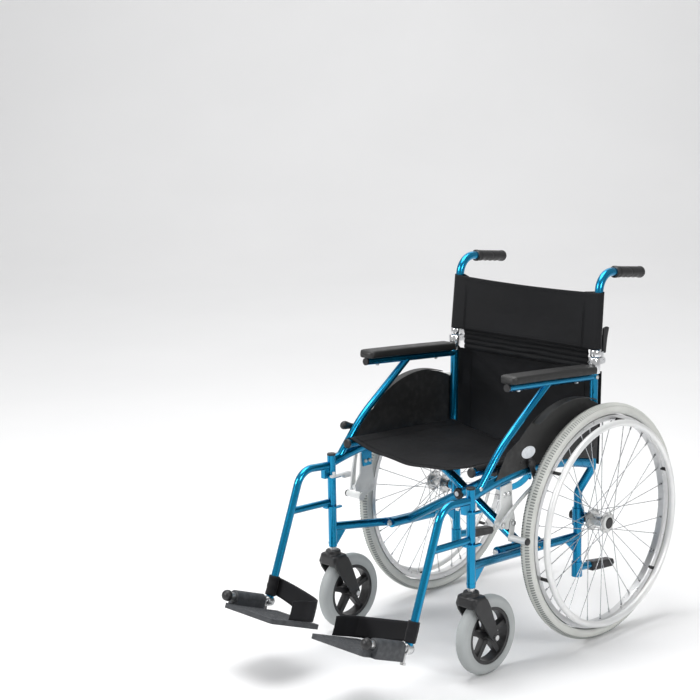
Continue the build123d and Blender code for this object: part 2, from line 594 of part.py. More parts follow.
def footrest_hanger():
    """Bent hanger tube with its strut, saddles, gusset and end block."""
    x = FOOT_ORIGIN[0]
    tube = bent_tube([(x, *HANGER_START), (x, *HANGER_KNEE), FOOT_ORIGIN], HANGER_TUBE, 50)
    strut = rod((x - 1, -15, HANGER_STRUT_Z), (x, -146, HANGER_STRUT_Z + 4), 9)
    gusset = plate_x([(-128, 352), (-152, 350), (-163, 318)], x - 2, x + 2)
    strut_foot = block(x - 9, x + 5, -26, -13, LOWER_SADDLE_Z - 2, HANGER_STRUT_Z)
    tube_foot = block(x - 9, x + 5, -30, -13, UPPER_SADDLE_Z - 2, HANGER_START[1])
    end_block = foot_frame() * (Pos(0, 0, 2) * Cylinder(12, 20))
    upright_room = rod((UPRIGHT_X, 0, 200), (UPRIGHT_X, 0, 500), FRAME_TUBE + 1.2)
    hanger = tube + strut + gusset + strut_foot + tube_foot + end_block - upright_room
    hanger += saddle(UPPER_SADDLE_Z) + saddle(LOWER_SADDLE_Z)
    pin_seat = foot_frame() * (Pos(0, 0, 70) * Cylinder(PIVOT_TUBE, 164))
    bolt_seat = foot_frame() * (Pos(0, -20, 6) * (Rot(90, 0, 0) * Cylinder(4, 24)))
    return hanger - pin_seat - bolt_seat


def footplate_pivot():
    """Pivot tube fixed in the hanger's end block, and the plate's levelling bolt."""
    tube = Pos(0, 0, 63.5) * Cylinder(PIVOT_TUBE, 151)
    bolt = Pos(0, -22, 6) * (Rot(90, 0, 0) * Cylinder(4, 22))
    bolt += Pos(0, -36, 6) * (Rot(90, 0, 0) * Cylinder(7, 6))
    bolt -= Cylinder(PIVOT_TUBE, 60)
    return foot_frame() * Compound(children=[tube.solids()[0], bolt.solids()[0]])


def footplate():
    """Flip-up plate with its hinge barrel and the round bumper on the barrel's axis."""
    mid_z = (PLATE_FRONT + PLATE_BACK) / 2
    depth = PLATE_FRONT - PLATE_BACK
    width = 1 - PLATE_INNER
    plate = Box(width, PLATE_THICKNESS, depth)
    plate = fillet(plate.edges().filter_by(Axis.Y), 8)
    plate = Pos((1 + PLATE_INNER) / 2, PLATE_TOP - PLATE_THICKNESS / 2, mid_z) * plate
    notch = Pos(-4, PLATE_TOP - PLATE_THICKNESS / 2, PLATE_BACK + 16) * Box(30, 40, 60)
    barrel_mid = (BARREL[0] + BARREL[1]) / 2
    barrel_length = BARREL[1] - BARREL[0]
    barrel = Pos(0, 0, barrel_mid) * Cylinder(16, barrel_length)
    housing = Pos(0, -15, barrel_mid) * Box(32, 30, barrel_length)
    bore = Pos(0, 0, barrel_mid) * Cylinder(PIVOT_TUBE + FIT, 2 * PLATE_FRONT)
    ball = Pos(0, 0, 144) * Sphere(13) - Pos(0, 0, 70) * Cylinder(PIVOT_TUBE + FIT, 138.2)
    body = plate - notch + barrel + housing - bore
    return foot_frame() * Compound(children=[body.solids()[0], ball.solids()[0]])


def heel_strap():
    """Heel loop: a sleeve on the hanger tube, a band across the heels and a leg along the plate."""
    sleeve = Pos(0, 40, 0) * (Rot(90, 0, 0) * (Cylinder(14, 50) - Cylinder(HANGER_TUBE + 1.6, 60)))
    band_face = make_face(Polyline((-11.5, 15), (-11.5, 63), (-170, 38), (-170, -10), close=True))
    band = extrude(band_face, amount=3)
    leg = Pos(-168.5, 12, 45) * Box(3, 52, 84)
    return foot_frame() * (sleeve + band + leg)


def catch_lever():
    """Latch that holds the hanger, turning on a pin beside the upper saddle."""
    z = UPPER_SADDLE_Z + 2.5 + GAP
    lever = block(212, 222, -24, 30, z, z + 5) + block(212, 222, 20, 42, z - 8, z + 5)
    return lever + rod((217, -14, z + 5), (217, -14, z + 13), 4)


# ---------------------------------------------------------------- parking brake
def brake_bracket():
    """Bent plate bolted to the frame's lug, carrying the brake's two pivots."""
    x0 = BRACKET_X
    upper = plate_x([(106, 462), (146, 466), (148, 410), (104, 406)], x0, x0 + PLATE)
    lower = plate_x([(104, 408), (148, 412), (158, 372), (150, 352), (130, 350), (88, 362), (84, 378)],
                    x0, x0 + PLATE)
    pivots = disc_x(x0, LEVER_X + 6, BRAKE_PIN, *BRAKE_PIVOT) + disc_x(x0, x0 + 12, BRAKE_PIN, *SHOE_PIVOT)
    pivots += disc_x(x0 + PLATE, LEVER_X - GAP, 7, *BRAKE_PIVOT)
    return upper + lower + pivots + brake_bolts()


def brake_lever(angle):
    """Lever bar and its angled knob, at the given bar angle."""
    end = polar(BRAKE_PIVOT, BRAKE_BAR_LENGTH, angle)
    knob_end = polar(end, BRAKE_KNOB_LENGTH, angle + BRAKE_KNOB_TURN)
    x0 = LEVER_X
    along = (cos(radians(angle)), sin(radians(angle)))
    across = (-along[1], along[0])
    corners = []
    for run, rise in ((0, -8), (BRAKE_BAR_LENGTH, -6), (BRAKE_BAR_LENGTH, 6), (0, 10)):
        corners.append((BRAKE_PIVOT[0] + run * along[0] + rise * across[0],
                        BRAKE_PIVOT[1] + run * along[1] + rise * across[1]))
    x1 = x0 + LEVER_THICKNESS
    middle = (x0 + x1) / 2
    bar = plate_x(corners, x0, x1) + disc_x(x0, x1, 10, *BRAKE_PIVOT)
    bar -= disc_x(x0 - 5, x1 + 5, BRAKE_PIN + FIT, *BRAKE_PIVOT)
    bar += rod((middle, *end), (middle, *polar(end, 20, angle + BRAKE_KNOB_TURN)), LEVER_THICKNESS / 2)
    knob = rod((middle, *polar(end, 6, angle + BRAKE_KNOB_TURN)), (middle, *knob_end), 9)
    knob &= block(middle - KNOB_HALF_WIDTH, middle + KNOB_HALF_WIDTH, 0, 400, 300, 700)
    knob += Pos(x0 + 6, *knob_end) * Sphere(9)
    knob -= bar
    return Compound(children=[bar.solids()[0], max(knob.solids(), key=lambda solid: solid.volume)])


def brake_shoe(angle):
    """Arm and cross tube that press on the tyre, at the given arm angle."""
    foot = polar(SHOE_PIVOT, SHOE_ARM, angle)
    x0 = SHOE_X
    x1 = SHOE_X + PLATE
    half_width = 8.0
    arm = disc_x(x0, x1, half_width, *SHOE_PIVOT) + disc_x(x0, x1, 10, *foot)
    corners = [polar(SHOE_PIVOT, half_width, angle + 90), polar(foot, half_width, angle + 90),
               polar(foot, half_width, angle - 90), polar(SHOE_PIVOT, half_width, angle - 90)]
    arm += plate_x(corners, x0, x1)
    arm -= disc_x(x0 - 9, x0 + 9, BRAKE_PIN + FIT, *SHOE_PIVOT)
    return arm + disc_x(x0, 302, SHOE_RADIUS, *foot)


# ---------------------------------------------------------------- fabric of the back
def back_sling_lower():
    """Lower back panel, behind the posts."""
    lean = degrees(atan2(POST_TOP[0] - POST_FOOT[0], POST_TOP[1] - POST_FOOT[1]))
    y = (POST_TOP[0] + POST_FOOT[0]) / 2 + FRAME_TUBE + 3.5
    panel = Rot(-lean, 0, 0) * Box(BACK_WIDTH, FABRIC, BACK_HIGH - BACK_LOW)
    return Pos(0, y, (BACK_LOW + BACK_HIGH) / 2) * panel


def back_sling_upper():
    """Upper back panel with a sleeve round each cane."""
    foot = Vector(UPRIGHT_X - 1, *CANE_FOOT)
    knee = Vector(CANE_TOP_X, *CANE_KNEE)
    along = (knee - foot).normalized()
    start = foot + along * SLEEVE_LOW
    end = foot + along * SLEEVE_HIGH
    sling = Part()
    for side in (1, -1):
        a = (side * start.X, start.Y, start.Z)
        b = (side * end.X, end.Y, end.Z)
        sling += rod(a, b, FRAME_TUBE + SLEEVE_THICKNESS) - rod(a, b, FRAME_TUBE + GAP)
    middle = (start + end) / 2
    lean = degrees(atan2(along.Y, along.Z))
    panel = Pos(0, middle.Y - 11, middle.Z) * (Rot(-lean, 0, 0) * Box(2 * 234, 3, (end - start).length - 4))
    for side in (1, -1):
        a = (side * foot.X, foot.Y, foot.Z)
        b = (side * knee.X, knee.Y, knee.Z)
        panel -= rod(a, b, FRAME_TUBE + GAP)
    return sling + panel


def main():
    frame = side_frame(1)
    write("side_frame_left", frame)
    write("side_frame_right", mirror(side_frame(-1), about=Plane.YZ))
    write_pair("frame_plugs", frame_plugs(frame))
    write_pair("skirt_guard", skirt_guard(frame))
    write_pair("arm_pad", arm_pad())
    write("brace_front", brace(1, BRACE_OFFSET))
    write("brace_rear", brace(-1, -BRACE_OFFSET))
    write("brace_bolt", brace_bolt())
    write("stabiliser_link_left", stabiliser_link(1, LINK_Z))
    write("stabiliser_link_right", stabiliser_link(-1, -LINK_Z))
    write("seat_sling", seat_sling())
    write_pair("back_hinge", back_hinge(frame))
    write_pair("push_cane", push_cane())
    write_pair("push_grip", push_grip())
    write_pair("release_lever", release_lever())
    write("back_sling_lower", back_sling_lower())
    write("back_sling_upper", back_sling_upper())
    write_pair("rear_tyre", rear_tyre())
    write_pair("rear_rim", rear_rim())
    write_pair("rear_hub", rear_hub())
    write_pair("spokes", spokes())
    write_pair("handrim", handrim())
    write_pair("wheel_trim", wheel_trim())
    write_pair("castor_fork", castor_fork())
    write_pair("castor_bolts", castor_bolts())
    write_pair("castor_tyre", castor_tyre())
    write_pair("castor_hub", castor_hub())
    write_pair("footrest_hanger", footrest_hanger())
    write_pair("footplate_pivot", footplate_pivot())
    write_pair("footplate", footplate())
    write_pair("heel_strap", heel_strap())
    write_pair("catch_lever", catch_lever())
    write_pair("brake_bracket", brake_bracket())
    write("brake_lever_left", brake_lever(BRAKE_ON_ANGLE))
    write("brake_lever_right", mirror(brake_lever(BRAKE_OFF_ANGLE), about=Plane.YZ))
    write("brake_shoe_left", brake_shoe(SHOE_ON_ANGLE))
    write("brake_shoe_right", mirror(brake_shoe(SHOE_OFF_ANGLE), about=Plane.YZ))


if __name__ == "__main__":
    main()
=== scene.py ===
import math

import bmesh
import bpy
from mathutils import Matrix, Vector, noise


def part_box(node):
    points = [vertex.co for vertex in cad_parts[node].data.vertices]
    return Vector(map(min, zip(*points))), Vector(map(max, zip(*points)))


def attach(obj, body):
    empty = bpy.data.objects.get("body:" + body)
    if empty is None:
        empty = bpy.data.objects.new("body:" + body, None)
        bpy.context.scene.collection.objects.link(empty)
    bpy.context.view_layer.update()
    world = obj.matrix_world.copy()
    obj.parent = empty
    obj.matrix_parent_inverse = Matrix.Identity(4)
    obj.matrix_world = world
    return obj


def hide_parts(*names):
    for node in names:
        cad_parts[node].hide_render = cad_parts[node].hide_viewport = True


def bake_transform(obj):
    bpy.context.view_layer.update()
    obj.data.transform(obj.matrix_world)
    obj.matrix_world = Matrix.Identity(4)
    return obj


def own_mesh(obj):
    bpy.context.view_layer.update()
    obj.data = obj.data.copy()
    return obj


# Folding manual wheelchair. Metres, +Z up, front towards -Y, the sitter's left at +X.
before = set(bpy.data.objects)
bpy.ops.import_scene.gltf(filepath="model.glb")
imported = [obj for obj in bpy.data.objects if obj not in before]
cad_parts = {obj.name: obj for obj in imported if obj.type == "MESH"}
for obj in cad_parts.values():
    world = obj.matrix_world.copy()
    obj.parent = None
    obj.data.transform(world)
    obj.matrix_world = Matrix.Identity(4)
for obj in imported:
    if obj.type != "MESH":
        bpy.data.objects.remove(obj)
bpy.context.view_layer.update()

MM = 0.001
SIDES = (("left", 1), ("right", -1))

# camera, as found from the chair's own geometry
CAMERA_PLACE = (2.9023, -3.1770, 1.6121)
CAMERA_AZIMUTH = 45.784
CAMERA_ELEVATION = 11.218
CAMERA_ROLL = -0.954
CAMERA_LENS = 89.3

# driving places, in millimetres
WHEEL_X = 280.0
WHEEL_Y = 259.0
WHEEL_Z = 307.0
UPRIGHT_Y = -193.0
BRACE_CENTRE = (0.0, 52.0, 373.3)
RAKE = math.radians(3.0)
SEAT_RAIL_X = 213.0
SEAT_RAIL_RISE = 121.9
SEAT_RAIL_FRONT = 218.0
FOOT_ORIGIN = (243.0, -417.3, 140.9)
FOOT_TILT = math.radians(20.0)
CANE_FOOT = (239.0, 283.5, 726.0)
CANE_KNEE = (235.3, 304.5, 942.4)
CANE_END = (235.3, 475.0, 921.9)
FABRIC_RADIUS = 13.4            # seat cloth round the seat rail
WRAP_LOW = math.radians(20.0)   # where the cloth starts and leaves the rail
WRAP_HIGH = math.radians(78.0)
ARM_FRONT_Y = -59.0
ARM_FRONT_Z = 702.5
ARM_FALL = 25.5 / 337.0
GRIP_LENGTH = 119.0
POST_X = 239.0                  # the rear posts, and the canes' feet on them
PANEL_FACE = 252.5              # outer face of the side panels
SLEEVE_RADIUS = 13.0            # upper back's sleeve round a cane
UPPER_BACK_BOW = 9.0
UPPER_BACK_LOW = 746.0
UPPER_BACK_HIGH = 891.0
BRAKE_PIVOT = (-99.0, 372.0)    # y and z, like the next
SHOE_PIVOT = (-49.2, 364.7)
BRAKE_BAR_LENGTH = 154.0
BRAKE_KNOB_LENGTH = 62.0
BRAKE_KNOB_TURN = math.radians(82.0)
SHOE_ARM = 37.3
BRAKE_ANGLES = {"left": (31.5, -100.0), "right": (77.0, -140.5)}    # bar and shoe; the left one is on
TYRE_CENTRE = 290.0             # radius of the tyre's middle line
TYRE_SEAT = 277.2               # where the tyre meets the rim
TREAD_SHOULDER = (12, 56)       # degrees round the section


# ---------------------------------------------------------------- mesh helpers
def mesh_object(name, verts, faces, smooth=True):
    """An object from corners in millimetres."""
    mesh = bpy.data.meshes.new(name)
    mesh.from_pydata([[c * MM for c in v] for v in verts], [], faces)
    mesh.update()
    obj = bpy.data.objects.new(name, mesh)
    bpy.context.scene.collection.objects.link(obj)
    clean_normals(obj)
    if smooth:
        for polygon in mesh.polygons:
            polygon.use_smooth = True
    return obj


def clean_normals(obj):
    """Points every face outwards."""
    bm = bmesh.new()
    bm.from_mesh(obj.data)
    bmesh.ops.recalc_face_normals(bm, faces=bm.faces)
    bm.to_mesh(obj.data)
    bm.free()


def freeze(obj):
    """Applies the modifiers to the mesh."""
    bpy.context.view_layer.update()
    graph = bpy.context.evaluated_depsgraph_get()
    mesh = bpy.data.meshes.new_from_object(obj.evaluated_get(graph))
    obj.modifiers.clear()
    obj.data = mesh
    return obj


def bevelled(obj, width, segments=2):
    """Rounds the edges sharper than 35 degrees; width in millimetres."""
    bevel = obj.modifiers.new("bevel", "BEVEL")
    bevel.width = width * MM
    bevel.segments = segments
    bevel.limit_method = "ANGLE"
    bevel.angle_limit = math.radians(35)
    return freeze(obj)


def box_object(name, centre, size, rounding):
    """A box with rounded edges, from its centre and size in millimetres."""
    corners = [(x, y, z) for x in (-0.5, 0.5) for y in (-0.5, 0.5) for z in (-0.5, 0.5)]
    verts = [[c + s * k for c, s, k in zip(centre, size, corner)] for corner in corners]
    faces = [(0, 1, 3, 2), (4, 6, 7, 5), (0, 4, 5, 1), (2, 3, 7, 6), (0, 2, 6, 4), (1, 5, 7, 3)]
    return bevelled(mesh_object(name, verts, faces, smooth=False), rounding)


def loft(name, sections, closed_ring=True, caps=True, closed_path=False):
    """A skin through sections with the same number of points."""
    count = len(sections[0])
    verts = [point for section in sections for point in section]
    faces = []
    rows = len(sections) if closed_path else len(sections) - 1
    columns = count if closed_ring else count - 1
    for i in range(rows):
        for j in range(columns):
            a = i * count + j
            b = i * count + (j + 1) % count
            c = ((i + 1) % len(sections)) * count + (j + 1) % count
            d = ((i + 1) % len(sections)) * count + j
            faces.append((a, b, c, d))
    if caps and closed_ring and not closed_path:
        faces.append(tuple(range(count)))
        faces.append(tuple((len(sections) - 1) * count + j for j in range(count)))
    return mesh_object(name, verts, faces)


def frame_on(direction):
    """Two unit vectors square to a direction."""
    along = Vector(direction).normalized()
    helper = Vector((0, 0, 1)) if abs(along.z) < 0.9 else Vector((1, 0, 0))
    across = along.cross(helper).normalized()
    return across, across.cross(along).normalized()


def lathe(name, origin, direction, profile, segments=40):
    """Turns (distance along, radius) pairs about a line; both ends are closed."""
    along = Vector(direction).normalized()
    across, up = frame_on(direction)
    start = Vector(origin)
    sections = []
    for distance, radius in profile:
        ring = []
        for k in range(segments):
            angle = math.tau * k / segments
            out = across * math.cos(angle) + up * math.sin(angle)
            ring.append(start + along * distance + out * radius)
        sections.append(ring)
    return loft(name, sections)


def sheet_from_rows(name, rows, thickness):
    """A cloth skin of a given thickness through rows of points."""
    obj = loft(name, rows, closed_ring=False, caps=False)
    solid = obj.modifiers.new("thickness", "SOLIDIFY")
    solid.thickness = thickness * MM
    solid.offset = 0
    return freeze(obj)


def add_stitches(obj, line, normal, pitch=5.0, length=3.2, width=0.8, height=0.7):
    """Adds thread dashes along a line of points to a cloth mesh, as its second material."""
    lift = Vector(normal).normalized()
    verts = []
    faces = []
    travelled = 0.0
    for start, end in zip(line, line[1:]):
        a = Vector(start)
        run = Vector(end) - a
        along = run.normalized()
        across = along.cross(lift).normalized()
        while travelled < run.length - length:
            base = a + along * travelled
            first = len(verts)
            for step in (0, length):
                for side, rise in ((-1, -0.4), (-0.6, 1), (0.6, 1), (1, -0.4)):
                    verts.append(base + along * step + across * side * width + lift * rise * height)
            for k in range(4):
                n = (k + 1) % 4
                faces.append((first + k, first + n, first + 4 + n, first + 4 + k))
            faces.append((first, first + 1, first + 2, first + 3))
            faces.append((first + 7, first + 6, first + 5, first + 4))
            travelled += pitch
        travelled = max(0.0, travelled - run.length)
    if not faces:
        return
    stitches = mesh_object("stitches", verts, faces, smooth=False)
    offset = len(obj.data.vertices)
    bm = bmesh.new()
    bm.from_mesh(obj.data)
    bm.from_mesh(stitches.data)
    bm.faces.ensure_lookup_table()
    for face in bm.faces:
        if face.verts[0].index >= offset:
            face.material_index = 1
    bm.to_mesh(obj.data)
    bm.free()
    bpy.data.objects.remove(stitches)


def brace_point(x, rise, forward):
    """A place in the cross-brace's raked plane."""
    return Vector((BRACE_CENTRE[0] + x,
                   BRACE_CENTRE[1] + rise * math.sin(RAKE) - forward * math.cos(RAKE),
                   BRACE_CENTRE[2] + rise * math.cos(RAKE) + forward * math.sin(RAKE)))


def foot_point(m, x, rise, forward):
    """A place in a footrest's own plane; m is 1 on the left and -1 on the right."""
    return Vector((m * (FOOT_ORIGIN[0] + x),
                   FOOT_ORIGIN[1] + rise * math.sin(FOOT_TILT) - forward * math.cos(FOOT_TILT),
                   FOOT_ORIGIN[2] + rise * math.cos(FOOT_TILT) + forward * math.sin(FOOT_TILT)))


def smooth_line(points, count):
    """Catmull-Rom points through a few places."""
    places = [Vector(p) for p in points]
    padded = [places[0] * 2 - places[1]] + places + [places[-1] * 2 - places[-2]]
    line = []
    spans = len(places) - 1
    for k in range(count):
        t = k * spans / (count - 1)
        i = min(int(t), spans - 1)
        f = t - i
        p0, p1, p2, p3 = padded[i:i + 4]
        line.append(0.5 * ((2 * p1) + (p2 - p0) * f + (2 * p0 - 5 * p1 + 4 * p2 - p3) * f * f
                           + (3 * p1 - p0 - 3 * p2 + p3) * f ** 3))
    return line


# ---------------------------------------------------------------- materials
def new_material(name):
    """A material with its shader and an object-space coordinate node."""
    mat = bpy.data.materials.new(name)
    mat.use_nodes = True
    tree = mat.node_tree
    coord = tree.nodes.new("ShaderNodeTexCoord")
    return mat, tree, tree.nodes["Principled BSDF"], coord.outputs["Object"]


def add_noise(tree, coord, scale, detail=3.0, stretch=(1, 1, 1)):
    """A noise texture in object space; scale is features per metre."""
    mapping = tree.nodes.new("ShaderNodeMapping")
    mapping.inputs["Scale"].default_value = stretch
    texture = tree.nodes.new("ShaderNodeTexNoise")
    texture.inputs["Scale"].default_value = scale
    texture.inputs["Detail"].default_value = detail
    tree.links.new(coord, mapping.inputs["Vector"])
    tree.links.new(mapping.outputs["Vector"], texture.inputs["Vector"])
    return texture.outputs["Fac"]


def add_range(tree, value, low, high, from_low=0.3, from_high=0.7):
    """Stretches a noise value onto a range."""
    node = tree.nodes.new("ShaderNodeMapRange")
    node.inputs["From Min"].default_value = from_low
    node.inputs["From Max"].default_value = from_high
    node.inputs["To Min"].default_value = low
    node.inputs["To Max"].default_value = high
    tree.links.new(value, node.inputs["Value"])
    return node.outputs["Result"]


def add_mix(tree, factor, first, second):
    """Mixes two colours; either may be a colour or a socket."""
    node = tree.nodes.new("ShaderNodeMix")
    node.data_type = "RGBA"
    tree.links.new(factor, node.inputs["Factor"])
    for socket, value in ((node.inputs[6], first), (node.inputs[7], second)):
        if isinstance(value, tuple):
            socket.default_value = (*value, 1)
        else:
            tree.links.new(value, socket)
    return node.outputs[2]


def add_bump(tree, bsdf, height, strength, distance):
    """Drives the shader's normal from a height; distance in millimetres."""
    node = tree.nodes.new("ShaderNodeBump")
    node.inputs["Strength"].default_value = strength
    node.inputs["Distance"].default_value = distance * MM
    tree.links.new(height, node.inputs["Height"])
    tree.links.new(node.outputs["Normal"], bsdf.inputs["Normal"])


def add_wear(tree, worn):
    """A factor that is high on convex edges, broken up by a noise value."""
    geometry = tree.nodes.new("ShaderNodeNewGeometry")
    edge = add_range(tree, geometry.outputs["Pointiness"], 0.0, 1.0, 0.53, 0.62)
    product = tree.nodes.new("ShaderNodeMath")
    product.operation = "MULTIPLY"
    tree.links.new(edge, product.inputs[0])
    tree.links.new(worn, product.inputs[1])
    return product.outputs[0]


def surface(name, dark, light, rough, patch=9.0, grain=900.0, bump=0.15, depth=0.2, edge=None,
            stretch=(1, 1, 1), **sockets):
    """A surface with patchy colour, uneven gloss, a fine grain and worn edges."""
    mat, tree, bsdf, coord = new_material(name)
    patches = add_noise(tree, coord, patch)
    fine = add_noise(tree, coord, grain, 4.0, stretch)
    colour = add_mix(tree, add_range(tree, patches, 0, 1), dark, light)
    if edge:
        scuffs = add_range(tree, add_noise(tree, coord, 70.0), 0.0, 0.8, 0.42, 0.7)
        colour = add_mix(tree, add_wear(tree, scuffs), colour, edge)
    tree.links.new(colour, bsdf.inputs["Base Color"])
    uneven = add_noise(tree, coord, patch * 5.0)
    tree.links.new(add_range(tree, uneven, *rough), bsdf.inputs["Roughness"])
    add_bump(tree, bsdf, fine, bump, depth)
    for socket, value in sockets.items():
        bsdf.inputs[socket.replace("_", " ")].default_value = value
    return mat


def frame_paint():
    """Metallic blue lacquer: fine bright flakes under a clear coat."""
    mat, tree, bsdf, coord = new_material("frame_paint")
    patches = add_range(tree, add_noise(tree, coord, 6.0), 0, 1)
    colour = add_mix(tree, patches, (0.0, 0.200, 0.400), (0.0, 0.250, 0.460))
    flakes = add_range(tree, add_noise(tree, coord, 2600.0, 1.0), 0, 0.2, 0.58, 0.75)
    colour = add_mix(tree, flakes, colour, (0.02, 0.46, 0.66))
    scuffs = add_range(tree, add_noise(tree, coord, 60.0), 0.0, 0.35, 0.5, 0.72)
    colour = add_mix(tree, add_wear(tree, scuffs), colour, (0.03, 0.28, 0.46))
    tree.links.new(colour, bsdf.inputs["Base Color"])
    uneven = add_noise(tree, coord, 40.0)
    tree.links.new(add_range(tree, uneven, 0.19, 0.25), bsdf.inputs["Roughness"])
    add_bump(tree, bsdf, add_noise(tree, coord, 320.0), 0.04, 0.1)
    bsdf.inputs["Metallic"].default_value = 0.9
    bsdf.inputs["Coat Weight"].default_value = 0.35
    bsdf.inputs["Coat Roughness"].default_value = 0.06
    return mat


def woven(name, dark, light, thread, rough, sheen=0.35, wrinkle=0.4):
    """Woven cloth: two crossed sets of threads, creases and a soft sheen; thread pitch in millimetres."""
    mat, tree, bsdf, coord = new_material(name)
    waves = []
    for direction, tilt in (("X", 0.0), ("Z", 0.0)):
        wave = tree.nodes.new("ShaderNodeTexWave")
        wave.wave_type = "BANDS"
        wave.bands_direction = direction
        wave.inputs["Scale"].default_value = 1.0 / (thread * MM) / math.tau * 2.0
        wave.inputs["Distortion"].default_value = 0.6
        wave.inputs["Detail"].default_value = 1.0
        tree.links.new(coord, wave.inputs["Vector"])
        waves.append(wave.outputs["Fac"])
    weave = tree.nodes.new("ShaderNodeMath")
    weave.operation = "MULTIPLY"
    tree.links.new(waves[0], weave.inputs[0])
    tree.links.new(waves[1], weave.inputs[1])
    patches = add_range(tree, add_noise(tree, coord, 11.0, 4.0), 0, 1)
    base = add_mix(tree, patches, dark, light)
    threads = add_range(tree, weave.outputs[0], 0.0, 0.35, 0.0, 1.0)
    colour = add_mix(tree, threads, base, tuple(c * 1.9 for c in light))
    tree.links.new(colour, bsdf.inputs["Base Color"])
    tree.links.new(add_range(tree, patches, rough[0], rough[1], 0, 1), bsdf.inputs["Roughness"])
    creases = add_noise(tree, coord, 24.0, 5.0, (1.0, 1.0, 2.2))
    height = tree.nodes.new("ShaderNodeMath")
    height.operation = "MULTIPLY_ADD"
    tree.links.new(creases, height.inputs[0])
    height.inputs[1].default_value = 6.0 * wrinkle
    tree.links.new(weave.outputs[0], height.inputs[2])
    add_bump(tree, bsdf, height.outputs[0], 0.45, 0.5)
    bsdf.inputs["Specular IOR Level"].default_value = 0.22
    bsdf.inputs["Sheen Weight"].default_value = sheen
    bsdf.inputs["Sheen Roughness"].default_value = 0.4
    return mat


def radial_material(name, centre, bands, rough, bump=0.2):
    """Rings of colour about a wheel's axle, used on the tyres as painted shade across their round section;
    bands are (radius in metres, colour).
    """
    mat, tree, bsdf, coord = new_material(name)
    split = tree.nodes.new("ShaderNodeSeparateXYZ")
    tree.links.new(coord, split.inputs[0])
    place = tree.nodes.new("ShaderNodeCombineXYZ")
    tree.links.new(split.outputs["Y"], place.inputs["Y"])
    tree.links.new(split.outputs["Z"], place.inputs["Z"])
    distance = tree.nodes.new("ShaderNodeVectorMath")
    distance.operation = "DISTANCE"
    tree.links.new(place.outputs[0], distance.inputs[0])
    distance.inputs[1].default_value = centre
    ramp = tree.nodes.new("ShaderNodeValToRGB")
    low = bands[0][0]
    high = bands[-1][0]
    tree.links.new(add_range(tree, distance.outputs["Value"], 0, 1, low, high), ramp.inputs["Fac"])
    while len(ramp.color_ramp.elements) < len(bands):
        ramp.color_ramp.elements.new(0.5)
    for element, (radius, colour) in zip(ramp.color_ramp.elements, bands):
        element.position = (radius - low) / (high - low)
        element.color = (*colour, 1)
    patches = add_range(tree, add_noise(tree, coord, 14.0, 4.0), 0.0, 0.5)
    dust = add_mix(tree, patches, ramp.outputs["Color"], tuple(c * 0.86 for c in bands[-1][1]))
    tree.links.new(dust, bsdf.inputs["Base Color"])
    tree.links.new(add_range(tree, add_noise(tree, coord, 60.0), *rough), bsdf.inputs["Roughness"])
    add_bump(tree, bsdf, add_noise(tree, coord, 700.0), bump, 0.2)
    return mat


